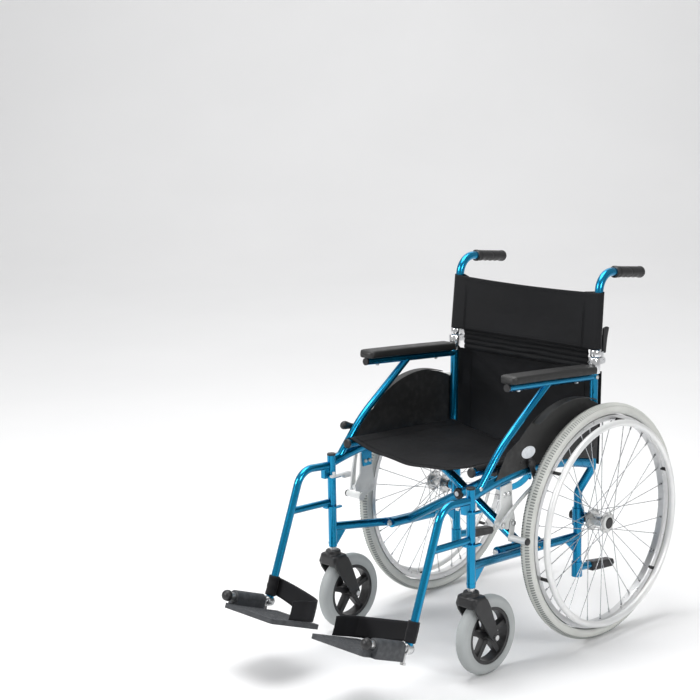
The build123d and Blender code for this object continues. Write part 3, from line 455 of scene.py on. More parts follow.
def make_materials():
    """Every finish of the chair, by name."""
    mats = {
        "frame_paint": frame_paint(),
        "black_plastic": surface("black_plastic", (0.010, 0.010, 0.011), (0.013, 0.013, 0.014), (0.36, 0.48),
                                 grain=1400.0, bump=0.3, depth=0.25, edge=(0.035, 0.035, 0.036)),
        "plate_plastic": surface("plate_plastic", (0.030, 0.033, 0.038), (0.036, 0.039, 0.044), (0.48, 0.62),
                                 grain=1200.0, bump=0.35, depth=0.3, edge=(0.07, 0.075, 0.08)),
        "guard_plastic": surface("guard_plastic", (0.013, 0.013, 0.013), (0.016, 0.016, 0.016), (0.46, 0.56),
                                 patch=5.0, grain=1700.0, bump=0.3, depth=0.2, edge=(0.04, 0.04, 0.04)),
        "arm_foam": surface("arm_foam", (0.011, 0.011, 0.011), (0.014, 0.014, 0.014), (0.42, 0.55),
                            grain=620.0, bump=0.45, depth=0.35),
        "grip_vinyl": surface("grip_vinyl", (0.012, 0.012, 0.013), (0.016, 0.016, 0.017), (0.38, 0.5),
                              grain=800.0, bump=0.4, depth=0.3),
        "zinc_steel": surface("zinc_steel", (0.50, 0.51, 0.52), (0.68, 0.68, 0.67), (0.24, 0.42),
                              patch=18.0, grain=500.0, bump=0.15, depth=0.15, edge=(0.80, 0.80, 0.79),
                              Metallic=1.0),
        "chrome_steel": surface("chrome_steel", (0.72, 0.73, 0.75), (0.84, 0.84, 0.85), (0.08, 0.18),
                                patch=12.0, grain=420.0, bump=0.06, depth=0.1, edge=(0.9, 0.9, 0.9),
                                Metallic=1.0),
        "silver_paint": surface("silver_paint", (0.62, 0.63, 0.63), (0.74, 0.75, 0.74), (0.3, 0.44),
                                patch=20.0, grain=900.0, bump=0.2, depth=0.15, edge=(0.45, 0.45, 0.45),
                                Metallic=0.25, Coat_Weight=0.4, Coat_Roughness=0.15),
        "handrim_alloy": surface("handrim_alloy", (0.74, 0.75, 0.75), (0.86, 0.86, 0.85), (0.3, 0.42),
                                 patch=8.0, grain=700.0, bump=0.12, depth=0.12, edge=(0.92, 0.92, 0.92),
                                 Metallic=0.35),
        "spoke_steel": surface("spoke_steel", (0.42, 0.43, 0.44), (0.54, 0.55, 0.56), (0.2, 0.34),
                               patch=30.0, grain=500.0, bump=0.05, depth=0.05, Metallic=1.0),
        # Darker grey for the sunken faces between the rear tyres' tread blocks: painted shade in the grooves.
        "groove_rubber": surface("groove_rubber", (0.20, 0.215, 0.205), (0.25, 0.265, 0.255), (0.7, 0.85),
                                 patch=30.0, grain=900.0),
        "rim_alloy": surface("rim_alloy", (0.60, 0.61, 0.62), (0.74, 0.74, 0.74), (0.26, 0.4),
                             patch=10.0, grain=600.0, bump=0.2, depth=0.15, edge=(0.82, 0.82, 0.82),
                             stretch=(12, 1, 1), Metallic=0.75),
        "black_nylon": woven("black_nylon", (0.0030, 0.0032, 0.0040), (0.0062, 0.0066, 0.0080), 0.9,
                             (0.52, 0.70), sheen=0.03, wrinkle=0.9),
        # The seat's nylon is the back's black nylon at about half the brightness: painted shade that keeps
        # the seat's top dark under the overhead light.
        "seat_nylon": woven("seat_nylon", (0.0014, 0.0015, 0.0020), (0.0032, 0.0034, 0.0043), 0.9,
                            (0.55, 0.72), sheen=0.01, wrinkle=0.9),
        "webbing": woven("webbing", (0.005, 0.005, 0.006), (0.010, 0.010, 0.012), 2.2, (0.6, 0.78),
                         sheen=0.1, wrinkle=0.15),
        "thread": surface("thread", (0.02, 0.02, 0.022), (0.04, 0.04, 0.044), (0.5, 0.7), grain=3000.0),
        "badge": surface("badge", (0.70, 0.74, 0.78), (0.78, 0.81, 0.84), (0.2, 0.32),
                         grain=400.0, bump=0.08),
        "brass": surface("brass", (0.45, 0.28, 0.10), (0.6, 0.40, 0.16), (0.25, 0.4), Metallic=1.0),
    }
    centre = (0, WHEEL_Y * MM, WHEEL_Z * MM)
    # The rear tyre's rings are painted shade: lighter across the middle of the section, darker towards the
    # rim seat and the crown.
    mats["rear_rubber"] = radial_material(
        "rear_rubber", centre,
        [(0.276, (0.50, 0.51, 0.50)), (0.288, (0.66, 0.67, 0.64)), (0.296, (0.64, 0.65, 0.62)),
         (0.307, (0.54, 0.55, 0.52))], (0.62, 0.8))
    castor_centre = (0, -0.140, 0.100)
    # The castor tyre's rings are painted shade the same way: lighter in the middle, darker at the inner and
    # outer edges.
    mats["castor_rubber"] = radial_material(
        "castor_rubber", castor_centre,
        [(0.070, (0.34, 0.36, 0.36)), (0.086, (0.42, 0.44, 0.44)), (0.100, (0.36, 0.38, 0.38))], (0.5, 0.68))
    return mats


NODE_FINISH = {
    "side_frame": "frame_paint", "brace_front": "frame_paint", "brace_rear": "frame_paint",
    "push_cane": "frame_paint", "footrest_hanger": "frame_paint",
    "frame_plugs": "black_plastic", "skirt_guard": "guard_plastic", "release_lever": "black_plastic",
    "wheel_trim": "black_plastic", "castor_fork": "black_plastic", "castor_hub": "black_plastic",
    "catch_lever": "silver_paint", "footplate": "plate_plastic",
    "brace_bolt": "zinc_steel", "stabiliser_link": "frame_paint", "footplate_pivot": "zinc_steel",
    "castor_bolts": "zinc_steel", "rear_hub": "zinc_steel",
    "back_hinge": "chrome_steel", "spokes": "spoke_steel",
    "rear_rim": "rim_alloy", "handrim": "handrim_alloy",
    "brake_bracket": "silver_paint", "brake_lever": "silver_paint", "brake_shoe": "silver_paint",
    "castor_tyre": "castor_rubber", "rear_tyre": "rear_rubber",
    "arm_pad": "arm_foam", "push_grip": "grip_vinyl",
    "seat_sling": "black_nylon", "back_sling_lower": "black_nylon", "back_sling_upper": "black_nylon",
    "heel_strap": "webbing",
}


def dress_nodes(mats):
    """Gives every CAD node its finish."""
    for name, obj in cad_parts.items():
        finish = NODE_FINISH[name.replace("_left", "").replace("_right", "")]
        obj.data.materials.clear()
        obj.data.materials.append(mats[finish])


def finish_piece(obj, body, mats, slot, *finishes):
    """Sets a piece's body and its materials, named like the slot unless given."""
    obj.data.materials.clear()
    for name in finishes or (slot,):
        obj.data.materials.append(mats[name])
    if body:
        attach(obj, body)


# ---------------------------------------------------------------- seat
def seat_height(x, forward):
    """Height of the seat cloth over the brace centre, across the chair and along it."""
    share = min(abs(x) / SEAT_RAIL_X, 1.0)
    sag = 30.0 * (1 - share * share)
    ripple = 1.6 * math.sin(x * 0.045 + 1.3 * math.sin(forward * 0.021)) * (1 - share ** 4)
    ripple += 1.3 * noise.noise(Vector((x * 0.013, forward * 0.018, 2.0))) * (1 - share ** 4)
    front = max(0.0, (forward - 150.0) / 65.0)
    return SEAT_RAIL_RISE + FABRIC_RADIUS - sag + ripple - 3.0 * front * front * (1 - share ** 2)


def seat_row(forward):
    """One line of the seat cloth, over both seat rails and across the sag."""
    row = []
    for k in range(7):
        angle = WRAP_LOW + (WRAP_HIGH - WRAP_LOW) * k / 6
        row.append((SEAT_RAIL_X + FABRIC_RADIUS * math.cos(angle),
                    SEAT_RAIL_RISE + FABRIC_RADIUS * math.sin(angle)))
    half = 40
    inner = SEAT_RAIL_X - 3.0
    for k in range(half + 1):
        x = inner * (1 - k / half)
        row.append((x, seat_height(x, forward)))
    left = [brace_point(x, rise, forward) for x, rise in row]
    right = []
    for x, rise in reversed(row[:-1]):
        right.append(brace_point(-x, seat_height(-x, forward) if x < inner else rise, forward))
    return left + right


def make_seat(mats):
    """Sagging nylon seat, wrapped over the rails, with hems and stitch lines front and rear."""
    count = 42
    rear = -187.0
    front = 211.0
    places = [rear, rear + 1.5]
    places += [rear + 10 + (front - rear - 20) * k / count for k in range(count + 1)]
    places += [front - 1.5, front]
    rows = [seat_row(forward) for forward in places]
    seat = sheet_from_rows("seat_cloth", rows, 2.2)
    for forward in (front - 16, front - 19, rear + 16):
        line = [brace_point(x, seat_height(x, forward) + 1.3, forward) for x in range(-205, 206, 8)]
        add_stitches(seat, line, (0, 0, 1))
    for x in (-188, -184, 184, 188):
        line = [brace_point(x, seat_height(x, forward) + 1.3, forward) for forward in range(-180, 206, 8)]
        add_stitches(seat, line, (0, 0, 1))
    # The seat cloth takes the darker copy of the nylon, painted shade for its top.
    finish_piece(seat, None, mats, "black_nylon", "seat_nylon", "thread")
    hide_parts("seat_sling")
    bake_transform(seat)
    for m, body in ((1, "brace_a"), (-1, "brace_b")):
        start = brace_point(m * SEAT_RAIL_X, SEAT_RAIL_RISE, SEAT_RAIL_FRONT)
        forward = brace_point(0, 0, 1) - brace_point(0, 0, 0)
        plug = lathe(f"seat_rail_plug_{body}", start, forward,
                     [(-4, 8.0), (-2, 11.2), (0.2, 12.2), (3.0, 12.2), (4.6, 11.0), (5.2, 8.0), (5.3, 2.0)])
        finish_piece(plug, body, mats, "black_plastic")


# ---------------------------------------------------------------- back
def cane_at(m, height):
    """The push cane's axis at a height, in millimetres."""
    share = (height - CANE_FOOT[2]) / (CANE_KNEE[2] - CANE_FOOT[2])
    x = CANE_FOOT[0] + (CANE_KNEE[0] - CANE_FOOT[0]) * share
    y = CANE_FOOT[1] + (CANE_KNEE[1] - CANE_FOOT[1]) * share
    return Vector((m * x, y, height))


def back_row(share):
    """One line of the upper back: a sleeve round each cane and the panel between them."""
    height = UPPER_BACK_LOW + (UPPER_BACK_HIGH - UPPER_BACK_LOW) * share
    bow = UPPER_BACK_BOW * math.sin(math.pi * min(1.0, 0.25 + share * 0.75))
    axis = cane_at(1, height)
    radius = SLEEVE_RADIUS
    right = []
    for k in range(6):
        part = k / 6
        right.append((axis.x - 36 * (1 - part) - 3, axis.y - 8.5 + (radius + 8.5) * part))
    for k in range(13):
        angle = math.radians(90 - 180 * k / 12)
        right.append((axis.x + radius * math.cos(angle), axis.y + radius * math.sin(angle)))
    for k in range(1, 31):
        x = axis.x * (1 - k / 30)
        across = 1 - (x / axis.x) ** 2
        crease = 1.1 * noise.noise(Vector((x * 0.012, height * 0.02, 5.0))) * across
        right.append((x, axis.y - radius + bow * across + crease))
    sag = 5.0 * share * share
    half = [Vector((x, y, height - sag * (1 - min(1.0, x / axis.x) ** 2))) for x, y in right]
    other = [Vector((-p.x, p.y, p.z)) for p in reversed(half[:-1])]
    return half + other


def make_upper_back(mats):
    """Upper back panel with its cane sleeves and stitched hems, and the lining that rides the left cane."""
    low = UPPER_BACK_LOW
    high = UPPER_BACK_HIGH
    rows = [back_row(k / 30) for k in range(31)]
    back = sheet_from_rows("back_upper_cloth", rows, 1.6)
    for x in (-203, -199, 199, 203):
        line = []
        for k in range(30):
            height = low + (high - low) * k / 30 + 2
            across = 1 - (x / 236.0) ** 2
            y = cane_at(1, height).y - SLEEVE_RADIUS + UPPER_BACK_BOW * across * 0.8 - 1.2
            line.append(Vector((x, y, height)))
        add_stitches(back, line, (0, -1, 0))
    for k in (2, 28):
        row = rows[k]
        line = [p + Vector((0, -1.1, 0)) for p in row[20:-20]]
        add_stitches(back, line, (0, -1, 0))
    finish_piece(back, "back_right", mats, "black_nylon", "black_nylon", "thread")
    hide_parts("back_sling_upper")
    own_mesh(back)
    foot = cane_at(1, low + 1.5)
    run = cane_at(1, high - 1.5) - foot
    lining = lathe("cane_lining", foot, run,
                   [(0.0, 11.4), (0.0, 12.4), (run.length, 12.4), (run.length, 11.4)])
    finish_piece(lining, "back_left", mats, "black_nylon")


def make_pleats(mats):
    """Four sewn folds of spare cloth at the height of the back's joint."""
    rows = []
    low = 689.0
    high = 744.0
    half_width = 212.0
    steps = 49
    for k in range(steps):
        share = k / (steps - 1)
        height = low + (high - low) * share
        fold = 4.2 * abs(math.sin(math.pi * 4.0 * share)) ** 0.7
        row = []
        for j in range(57):
            x = half_width * (2 * j / 56 - 1)
            across = 1 - (x / half_width) ** 2
            wave = 1.3 * noise.noise(Vector((x * 0.02, round(share * 4) * 3.0, 9.0)))
            droop = 2.0 * noise.noise(Vector((x * 0.011, share * 2.0, 4.0))) * across
            y = 291.5 - fold * (0.75 + 0.25 * across) + wave + 3.5 * across
            row.append(Vector((x, y, height + droop)))
        rows.append(row)
    pleats = sheet_from_rows("back_pleats", rows, 1.6)
    finish_piece(pleats, "side_right", mats, "black_nylon")
    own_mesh(pleats)
    return pleats


def make_lower_back(mats):
    """Lower back panel behind the posts, creased at its top corners."""
    low = 446.0
    high = 688.0
    half_width = 249.0
    columns = 64
    rows = []
    for k in range(46):
        share = k / 45
        height = low + (high - low) * share
        row = []
        for j in range(columns + 1):
            x = half_width * (2 * j / columns - 1)
            across = 1 - (x / half_width) ** 2
            crease = 1.8 * noise.noise(Vector((x * 0.009 + height * 0.008, height * 0.016, 7.0)))
            pull = 3.4 * noise.noise(Vector((abs(x + 60) * 0.02 - height * 0.03, 3.0, 1.0))) * share
            pull += 1.5 * noise.noise(Vector((x * 0.05 + height * 0.035, 6.0, 2.0))) * share * share
            bow = (7.0 * across + crease + pull) * min(1.0, across * 3)
            row.append(Vector((x, 289.5 + 7.5 * share + bow, height)))
        rows.append(row)
    back = sheet_from_rows("back_lower_cloth", rows, 1.8)
    for x in (-196, -192, 192, 196):
        column = round((x + half_width) / (2 * half_width) * columns)
        add_stitches(back, [row[column] + Vector((0, -1.2, 0)) for row in rows[1:-1]], (0, -1, 0))
    add_stitches(back, [p + Vector((0, -1.2, 0)) for p in rows[3][2:-2]], (0, -1, 0))
    finish_piece(back, "side_right", mats, "black_nylon", "black_nylon", "thread")
    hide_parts("back_sling_lower")
    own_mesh(back)


# ---------------------------------------------------------------- arms and grips
def make_arm_pad(m, side, mats):
    """Moulded pad with a crowned top, a rolled nose and a parting line."""
    low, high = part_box(f"arm_pad_{side}")
    front = low[1] / MM
    rear = high[1] / MM
    centre_x = 241.0
    length = rear - front
    sections = []
    count = 48
    for k in range(count + 1):
        share = k / count
        y = front + 0.3 + (length - 0.6) * share
        nose = min(1.0, share / 0.05)
        tail = min(1.0, (1 - share) / 0.03)
        plan = math.sqrt(max(0.0, 1 - (1 - nose) ** 2)) * math.sqrt(max(0.0, 1 - (1 - tail) ** 2))
        half_width = 25.6 * (0.72 + 0.28 * plan) * (1 - 0.04 * math.sin(math.pi * share))
        base = ARM_FRONT_Z - (y - ARM_FRONT_Y) * ARM_FALL + 9.8
        top = 20.8 * (0.76 + 0.24 * plan) + 0.8 * math.sin(math.pi * share)
        ring = []
        for j in range(36):
            angle = math.tau * j / 36
            c = math.cos(angle)
            s = math.sin(angle)
            x = half_width * math.copysign(abs(c) ** 0.34, c)
            z = top / 2 + top / 2 * math.copysign(abs(s) ** 0.48, s)
            seam = 0.7 if abs(z - top * 0.38) < 1.2 else 0.0
            ring.append(Vector((m * (centre_x + x - math.copysign(seam, x)), y, base + z)))
        sections.append(ring)
    pad = loft(f"arm_rest_{side}", sections)
    finish_piece(pad, f"side_{side}", mats, "arm_foam")
    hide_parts(f"arm_pad_{side}")
    for k, y in enumerate((-20.0, 205.0)):
        z = ARM_FRONT_Z - (y - ARM_FRONT_Y) * ARM_FALL - 9.2
        screw = lathe(f"pad_screw_{side}_{k}", (m * centre_x, y, z), (0, 0, -1),
                      [(-1, 5.0), (0.6, 5.2), (2.4, 4.6), (3.4, 3.0), (3.7, 1.0)], 20)
        finish_piece(screw, f"side_{side}", mats, "zinc_steel")


def make_grip(m, side, mats):
    """Vinyl grip with finger hollows below, ribs round its neck and a rounded end."""
    knee = Vector((m * CANE_KNEE[0], CANE_KNEE[1], CANE_KNEE[2]))
    end = Vector((m * CANE_END[0], CANE_END[1], CANE_END[2]))
    along = (end - knee).normalized()
    across = Vector((1, 0, 0))
    up = across.cross(along).normalized()
    if up.z < 0:
        up = -up
    length = GRIP_LENGTH
    start = end + along * 6 - along * length
    sections = []
    count = 96
    for k in range(count + 1):
        s = length * k / count
        radius = 14.6
        if s < 7:
            radius = 15.6
        elif s < 16:
            radius = 14.2 + 0.6 * math.cos(s * 2.1)
        if s > length - 9:
            t = (s - (length - 9)) / 9
            radius = 15.2 * math.sqrt(max(0.02, 1 - t * t * 0.92))
        elif s > length - 16:
            radius = 15.2
        ring = []
        for j in range(32):
            angle = math.tau * j / 32
            below = max(0.0, -math.sin(angle)) ** 1.5
            hollow = 0.0
            swoop = 0.0
            if 18 < s < length - 18:
                hollow = 1.5 * below * (0.5 - 0.5 * math.cos((s - 18) / (length - 36) * math.tau * 4))
                swoop = 0.8 * math.exp(-((s - 40 - 22 * math.cos(angle)) / 3.0) ** 2)
            r = radius - hollow - swoop
            ring.append(start + along * s + across * (r * math.cos(angle)) + up * (r * math.sin(angle)))
        sections.append(ring)
    grip = loft(f"hand_grip_{side}", sections)
    finish_piece(grip, f"back_{side}", mats, "grip_vinyl")
    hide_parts(f"push_grip_{side}")


def make_collars(m, side, mats):
    """Chrome collar at the foot of each cane, and the bolts of the arm and the post."""
    foot = cane_at(m, 727.0)
    top = cane_at(m, 744.5)
    collar = lathe(f"cane_collar_{side}", foot, top - foot,
                   [(0.0, 11.2), (0.1, 12.9), (1.0, 13.4), (16.0, 13.4), (17.0, 12.9), (17.1, 11.2)], 40)
    sheath = lathe(f"joint_sheath_{side}", (m * POST_X, 279.6, 685.0), (0, 0.8, 40.0),
                   [(0.0, 13.4), (0.2, 14.6), (1.2, 15.2), (39.6, 15.2), (40.6, 14.6), (40.8, 13.4)], 48)
    finish_piece(sheath, f"side_{side}", mats, "chrome_steel")
    knuckle = lathe(f"joint_knuckle_{side}", (m * 231.4, 304.0, 716.0), (m, 0, 0),
                    [(0.0, 6.6), (0.4, 7.6), (14.8, 7.6), (15.2, 6.6)], 32)
    tongue = box_object(f"joint_tongue_{side}", (m * POST_X, 298.2, 732.8), (15.4, 19.4, 12.0), 1.4)
    web = box_object(f"joint_web_{side}", (m * POST_X, 304.0, 724.0), (15.2, 9.2, 15.0), 1.2)
    for piece in (collar, knuckle, tongue, web):
        finish_piece(piece, f"back_{side}", mats, "chrome_steel")
    for k, (y, z, x) in enumerate(((278.0, 676.0, 250.6), (-166.0, 474.0, 249.0))):
        bolt = lathe(f"arm_bolt_{side}_{k}", (m * (x - 1.2), y, z), (m, 0, 0),
                     [(-1.0, 5.4), (1.0, 5.6), (2.2, 5.2), (3.2, 3.8), (3.8, 1.4)], 24)
        finish_piece(bolt, f"side_{side}", mats, "zinc_steel")


def make_release_paddle(m, side, mats):
    """Broad paddle on the joint's release, thick in the middle and rounded at its top."""
    line = smooth_line([(0, 317.0, 733.0), (0, 319.0, 752.0), (0, 321.5, 772.0), (0, 325.0, 790.0),
                        (0, 326.0, 799.0)], 24)
    sections = []
    for k, place in enumerate(line):
        share = k / (len(line) - 1)
        half = 6.0 + 7.0 * share ** 1.3
        thick = 5.4 - 1.2 * share
        if share > 0.82:
            ease = math.sqrt(max(0.03, 1 - ((share - 0.82) / 0.18) ** 2))
            half *= ease
            thick *= ease
        ring = []
        for j in range(24):
            angle = math.tau * j / 24
            y = half * math.copysign(abs(math.cos(angle)) ** 0.7, math.cos(angle))
            x = thick * math.copysign(abs(math.sin(angle)) ** 0.7, math.sin(angle))
            ring.append(place + Vector((m * (POST_X + x), y, 0)))
        sections.append(ring)
    paddle = loft(f"release_paddle_{side}", sections)
    finish_piece(paddle, f"release_{side}", mats, "black_plastic")
    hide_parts(f"release_lever_{side}")


# ---------------------------------------------------------------- side panels
def make_guard_details(m, side, mats):
    """Screws along the panel and a plain pale oval badge with a raised rim."""
    face = PANEL_FACE
    sections = []
    profile = [(17.0, 0.0), (17.0, 1.0), (16.2, 1.9), (15.2, 1.9), (14.8, 1.4), (8.0, 1.6), (0.6, 1.7)]
    for radius, rise in profile:
        ring = []
        for k in range(48):
            angle = math.tau * k / 48
            ring.append(Vector((m * (face + rise), 4.0 + radius * 1.5 * math.cos(angle),
                                533.0 + radius * 0.9 * math.sin(angle))))
        sections.append(ring)
    badge = loft(f"plain_badge_{side}", sections)
    finish_piece(badge, f"side_{side}", mats, "guard_plastic", "badge")
    for k, (y, z) in enumerate(((-22.0, 512.0), (110.0, 520.0), (262.0, 592.0), (262.0, 500.0))):
        screw = lathe(f"panel_screw_{side}_{k}", (m * face, y, z), (m, 0, 0),
                      [(-0.5, 4.2), (0.5, 4.4), (1.4, 3.8), (1.9, 2.0), (1.5, 0.8)], 20)
        finish_piece(screw, f"side_{side}", mats, "black_plastic")


def make_rail_rivets(mats):
    """Two brass rivets in the left lower rail, just ahead of the wheel."""
    for k, (y, z) in enumerate(((44.3, 277.6), (62.3, 274.4))):
        rivet = lathe(f"rail_rivet_{k}", (241.4 - 0.05 * k, y, z), (1, 0, 0),
                      [(-1.0, 2.6), (0.6, 2.7), (1.3, 2.2), (1.6, 1.0)], 16)
        finish_piece(rivet, "side_left", mats, "zinc_steel", "brass")


# ---------------------------------------------------------------- wheels
def make_rear_tyre(m, side, mats):
    """Grey tyre with moulded blocks on both shoulders; the sunken faces between them get a darker grey,
    painted shade.
    """
    segments = 1024
    tread = 2
    columns = 26
    wrap = 128          # degrees of the section, each way from the crown
    sections = []
    for i in range(segments):
        angle = math.tau * i / segments
        raised = (i // tread) % 2 == 0
        ring = []
        for j in range(columns):
            turn = math.radians(wrap * (2 * j / (columns - 1) - 1))
            radius = 16.2
            shoulder = abs(math.degrees(turn))
            if TREAD_SHOULDER[0] < shoulder < TREAD_SHOULDER[1]:
                radius = 17.0 if raised else 15.2
            elif shoulder <= TREAD_SHOULDER[0]:
                radius = 16.9
            elif 84 < shoulder < 92:
                radius = 16.7
            out = max(TYRE_SEAT, TYRE_CENTRE + radius * math.cos(turn))
            across = radius * math.sin(turn)
            ring.append(Vector((m * (WHEEL_X + across), WHEEL_Y + out * math.cos(angle),
                                WHEEL_Z + out * math.sin(angle))))
        sections.append(ring)
    tyre = loft(f"rear_tyre_tread_{side}", sections, closed_path=True)
    finish_piece(tyre, f"wheel_{side}", mats, "grey_tyre", "rear_rubber", "groove_rubber")
    # The sunken faces between the blocks take the darker grey: painted shade in the grooves.
    for index, face in enumerate(tyre.data.polygons):
        shoulder = abs(wrap * (2 * (index % columns + 0.5) / (columns - 1) - 1))
        if (index // columns // tread) % 2 == 1 and 14 < shoulder < 52:
            face.material_index = 1
    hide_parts(f"rear_tyre_{side}")


def make_wheel_details(m, side, mats):
    """Dark nipple seats round the rim and a bright ring round the hub cap."""
    for k in range(18):
        angle = math.radians(10 + 20 * k)
        out = Vector((0, math.cos(angle), math.sin(angle)))
        start = Vector((m * (WHEEL_X + 3), WHEEL_Y, WHEEL_Z)) + out * 262.4
        seat = lathe(f"nipple_seat_{side}_{k}", start, -out,
                     [(-1.0, 2.8), (0.4, 3.0), (1.0, 2.4), (1.2, 1.4)], 12)
        finish_piece(seat, f"wheel_{side}", mats, "black_plastic")
    ring = lathe(f"hub_ring_{side}", (m * 302.0, WHEEL_Y, WHEEL_Z), (m, 0, 0),
                 [(0.0, 20.0), (3.0, 20.0), (6.0, 18.2), (7.0, 16.6), (7.0, 15.2), (4.0, 15.1)], 48)
    finish_piece(ring, f"wheel_{side}", mats, "zinc_steel", "silver_paint")


# ---------------------------------------------------------------- brakes
def in_side_plane(angle):
    """A unit vector in the side plane, at an angle from the rear."""
    return Vector((0, math.cos(angle), math.sin(angle)))


def brake_places(side):
    """Pivot, bar end, knob end and shoe foot in the side plane, as (y, z)."""
    bar_angle, shoe_angle = (math.radians(angle) for angle in BRAKE_ANGLES[side])
    pivot = Vector((0, *BRAKE_PIVOT))
    end = pivot + BRAKE_BAR_LENGTH * in_side_plane(bar_angle)
    knob = end + BRAKE_KNOB_LENGTH * in_side_plane(bar_angle + BRAKE_KNOB_TURN)
    foot = Vector((0, *SHOE_PIVOT)) + SHOE_ARM * in_side_plane(shoe_angle)
    return pivot, end, knob, foot


def make_brake_lever(m, side, mats):
    """Bowed flat bar with a folded edge, and a ball-ended knob on it."""
    pivot, end, knob_end, _ = brake_places(side)
    run = (end - pivot)
    across = Vector((0, -run.z, run.y)).normalized()
    middle = pivot + run * 0.5 + across * 7.0
    line = smooth_line([pivot - run.normalized() * 9, pivot + run * 0.2 + across * 5, middle,
                        pivot + run * 0.8 + across * 4, end], 28)
    sections = []
    for k, place in enumerate(line):
        ahead = line[min(k + 1, len(line) - 1)] - line[max(k - 1, 0)]
        side_way = Vector((0, -ahead.z, ahead.y)).normalized()
        half = 9.0 - 4.0 * min(1.0, k / 12)
        ring = []
        for x, y in ((255.8, -1), (259.6, -0.9), (259.6, 0.72), (261.4, 0.82), (261.4, 1.0), (255.8, 1.0)):
            ring.append(place + side_way * (y * half) + Vector((m * x, 0, 0)))
        sections.append(ring)
    bar = bevelled(loft(f"brake_bar_{side}", sections), 0.7)
    finish_piece(bar, f"brake_{side}", mats, "silver_paint")
    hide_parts(f"brake_lever_{side}")
    rise = (knob_end - end)
    up = rise.normalized()
    wide = Vector((0, -up.z, up.y))
    profile = [(2, 6.5, 4.0, 0), (4, 8.4, 4.7, 0), (12, 8.8, 4.7, 0), (26, 8.6, 4.7, 0), (36, 8.0, 4.7, 0.3),
               (43, 7.8, 5.4, 1.0), (49, 9.0, 7.0, 2.4), (56, 10.8, 8.8, 3.9), (62, 11.4, 9.2, 4.2),
               (67, 10.4, 8.4, 4.2), (71, 7.6, 6.4, 4.2), (73, 3.0, 2.8, 4.2)]
    sections = []
    for distance, half, flat, shift in profile:
        bend = 5.0 * (distance / 73.0) ** 2
        centre = end + up * distance + wide * bend + Vector((m * (257.7 + shift), 0, 0))
        ring = []
        for k in range(28):
            angle = math.tau * k / 28
            ring.append(centre + wide * (half * math.cos(angle)) + Vector((m * flat * math.sin(angle), 0, 0)))
        sections.append(ring)
    knob = loft(f"brake_knob_{side}", sections)
    finish_piece(knob, f"brake_{side}", mats, "black_plastic")


def make_brake_details(m, side, mats):
    """Rivets on the brake's pivots, bolt heads and the shoe's black end cap."""
    pivot, _, _, foot = brake_places(side)
    frame_body = f"side_{side}"
    for k, (y, z, x) in enumerate(((*BRAKE_PIVOT, 261.8), (*SHOE_PIVOT, 252.4))):
        rivet = lathe(f"brake_rivet_{side}_{k}", (m * x, y, z), (m, 0, 0),
                      [(-1.0, 4.0), (0.0, 6.6), (1.2, 6.6), (2.2, 5.2), (2.8, 2.0)], 28)
        finish_piece(rivet, frame_body, mats, "zinc_steel")
    for k, y in enumerate((-74.0, -59.0)):
        bolt = lathe(f"brake_bolt_{side}_{k}", (m * 244.0, y, 440.0), (m, 0, 0),
                     [(0.0, 7.0), (1.0, 7.0), (1.1, 5.6), (4.0, 5.6), (4.6, 4.6)], 6)
        finish_piece(bolt, frame_body, mats, "zinc_steel")
    cap = lathe(f"shoe_cap_{side}", foot + Vector((m * 299.0, 0, 0)), (m, 0, 0),
                [(0.0, 8.1), (0.3, 9.0), (3.0, 9.0), (4.2, 8.2), (4.8, 5.0), (4.9, 1.0)], 32)
    finish_piece(cap, f"shoe_{side}", mats, "black_plastic")


# ---------------------------------------------------------------- footrests
def make_footplate_details(m, side, mats):
    """Tread ribs on the plate, the barrel's end ring, the bumper on its sleeve and the hinge's cap."""
    for k in range(11):
        forward = 4.0 + 13.0 * k
        sections = []
        for x in (-164.0, -160.0, -30.0, -26.0):
            tall = 0.2 if x in (-164.0, -26.0) else 1.3
            ring = []
            for a, b in ((-1.6, -0.6), (-1.1, tall), (1.1, tall), (1.6, -0.6)):
                ring.append(foot_point(m, x, -18.0 + b, forward + a))
            sections.append(ring)
        rib = loft(f"tread_rib_{side}_{k}", sections)
        finish_piece(rib, f"foot_{side}", mats, "black_plastic", "plate_plastic")
    forward = foot_point(m, 0, 0, 1) - foot_point(m, 0, 0, 0)
    sleeve = lathe(f"bumper_sleeve_{side}", foot_point(m, 0, 0, 122.0), forward,
                   [(0.0, 8.4), (0.0, 9.4), (15.5, 9.4), (16.0, 8.4)], 36)
    finish_piece(sleeve, f"foot_{side}", mats, "zinc_steel")
    collar = lathe(f"barrel_ring_{side}", foot_point(m, 0, 0, 121.0), forward,
                   [(-1.0, 15.0), (0.4, 15.4), (1.6, 14.2), (1.7, 9.8)], 36)
    finish_piece(collar, f"foot_{side}", mats, "black_plastic", "plate_plastic")
    bumper = lathe(f"bumper_{side}", foot_point(m, 0, 0, 138.0), forward,
                   [(0.0, 9.8), (0.4, 12.4), (2.0, 13.6), (5.0, 14.2), (9.0, 13.8), (13.0, 12.4), (16.5, 9.6),
                    (18.5, 5.0), (19.0, 1.0)], 40)
    finish_piece(bumper, f"foot_{side}", mats, "black_plastic")
    block_cap = lathe(f"hinge_cap_{side}", foot_point(m, 0, 0, -9.5), forward,
                      [(0.0, 8.0), (0.3, 11.4), (1.2, 12.6), (4.0, 12.9), (21.2, 12.9), (22.0, 12.2)], 40)
    finish_piece(block_cap, f"hanger_{side}", mats, "zinc_steel")


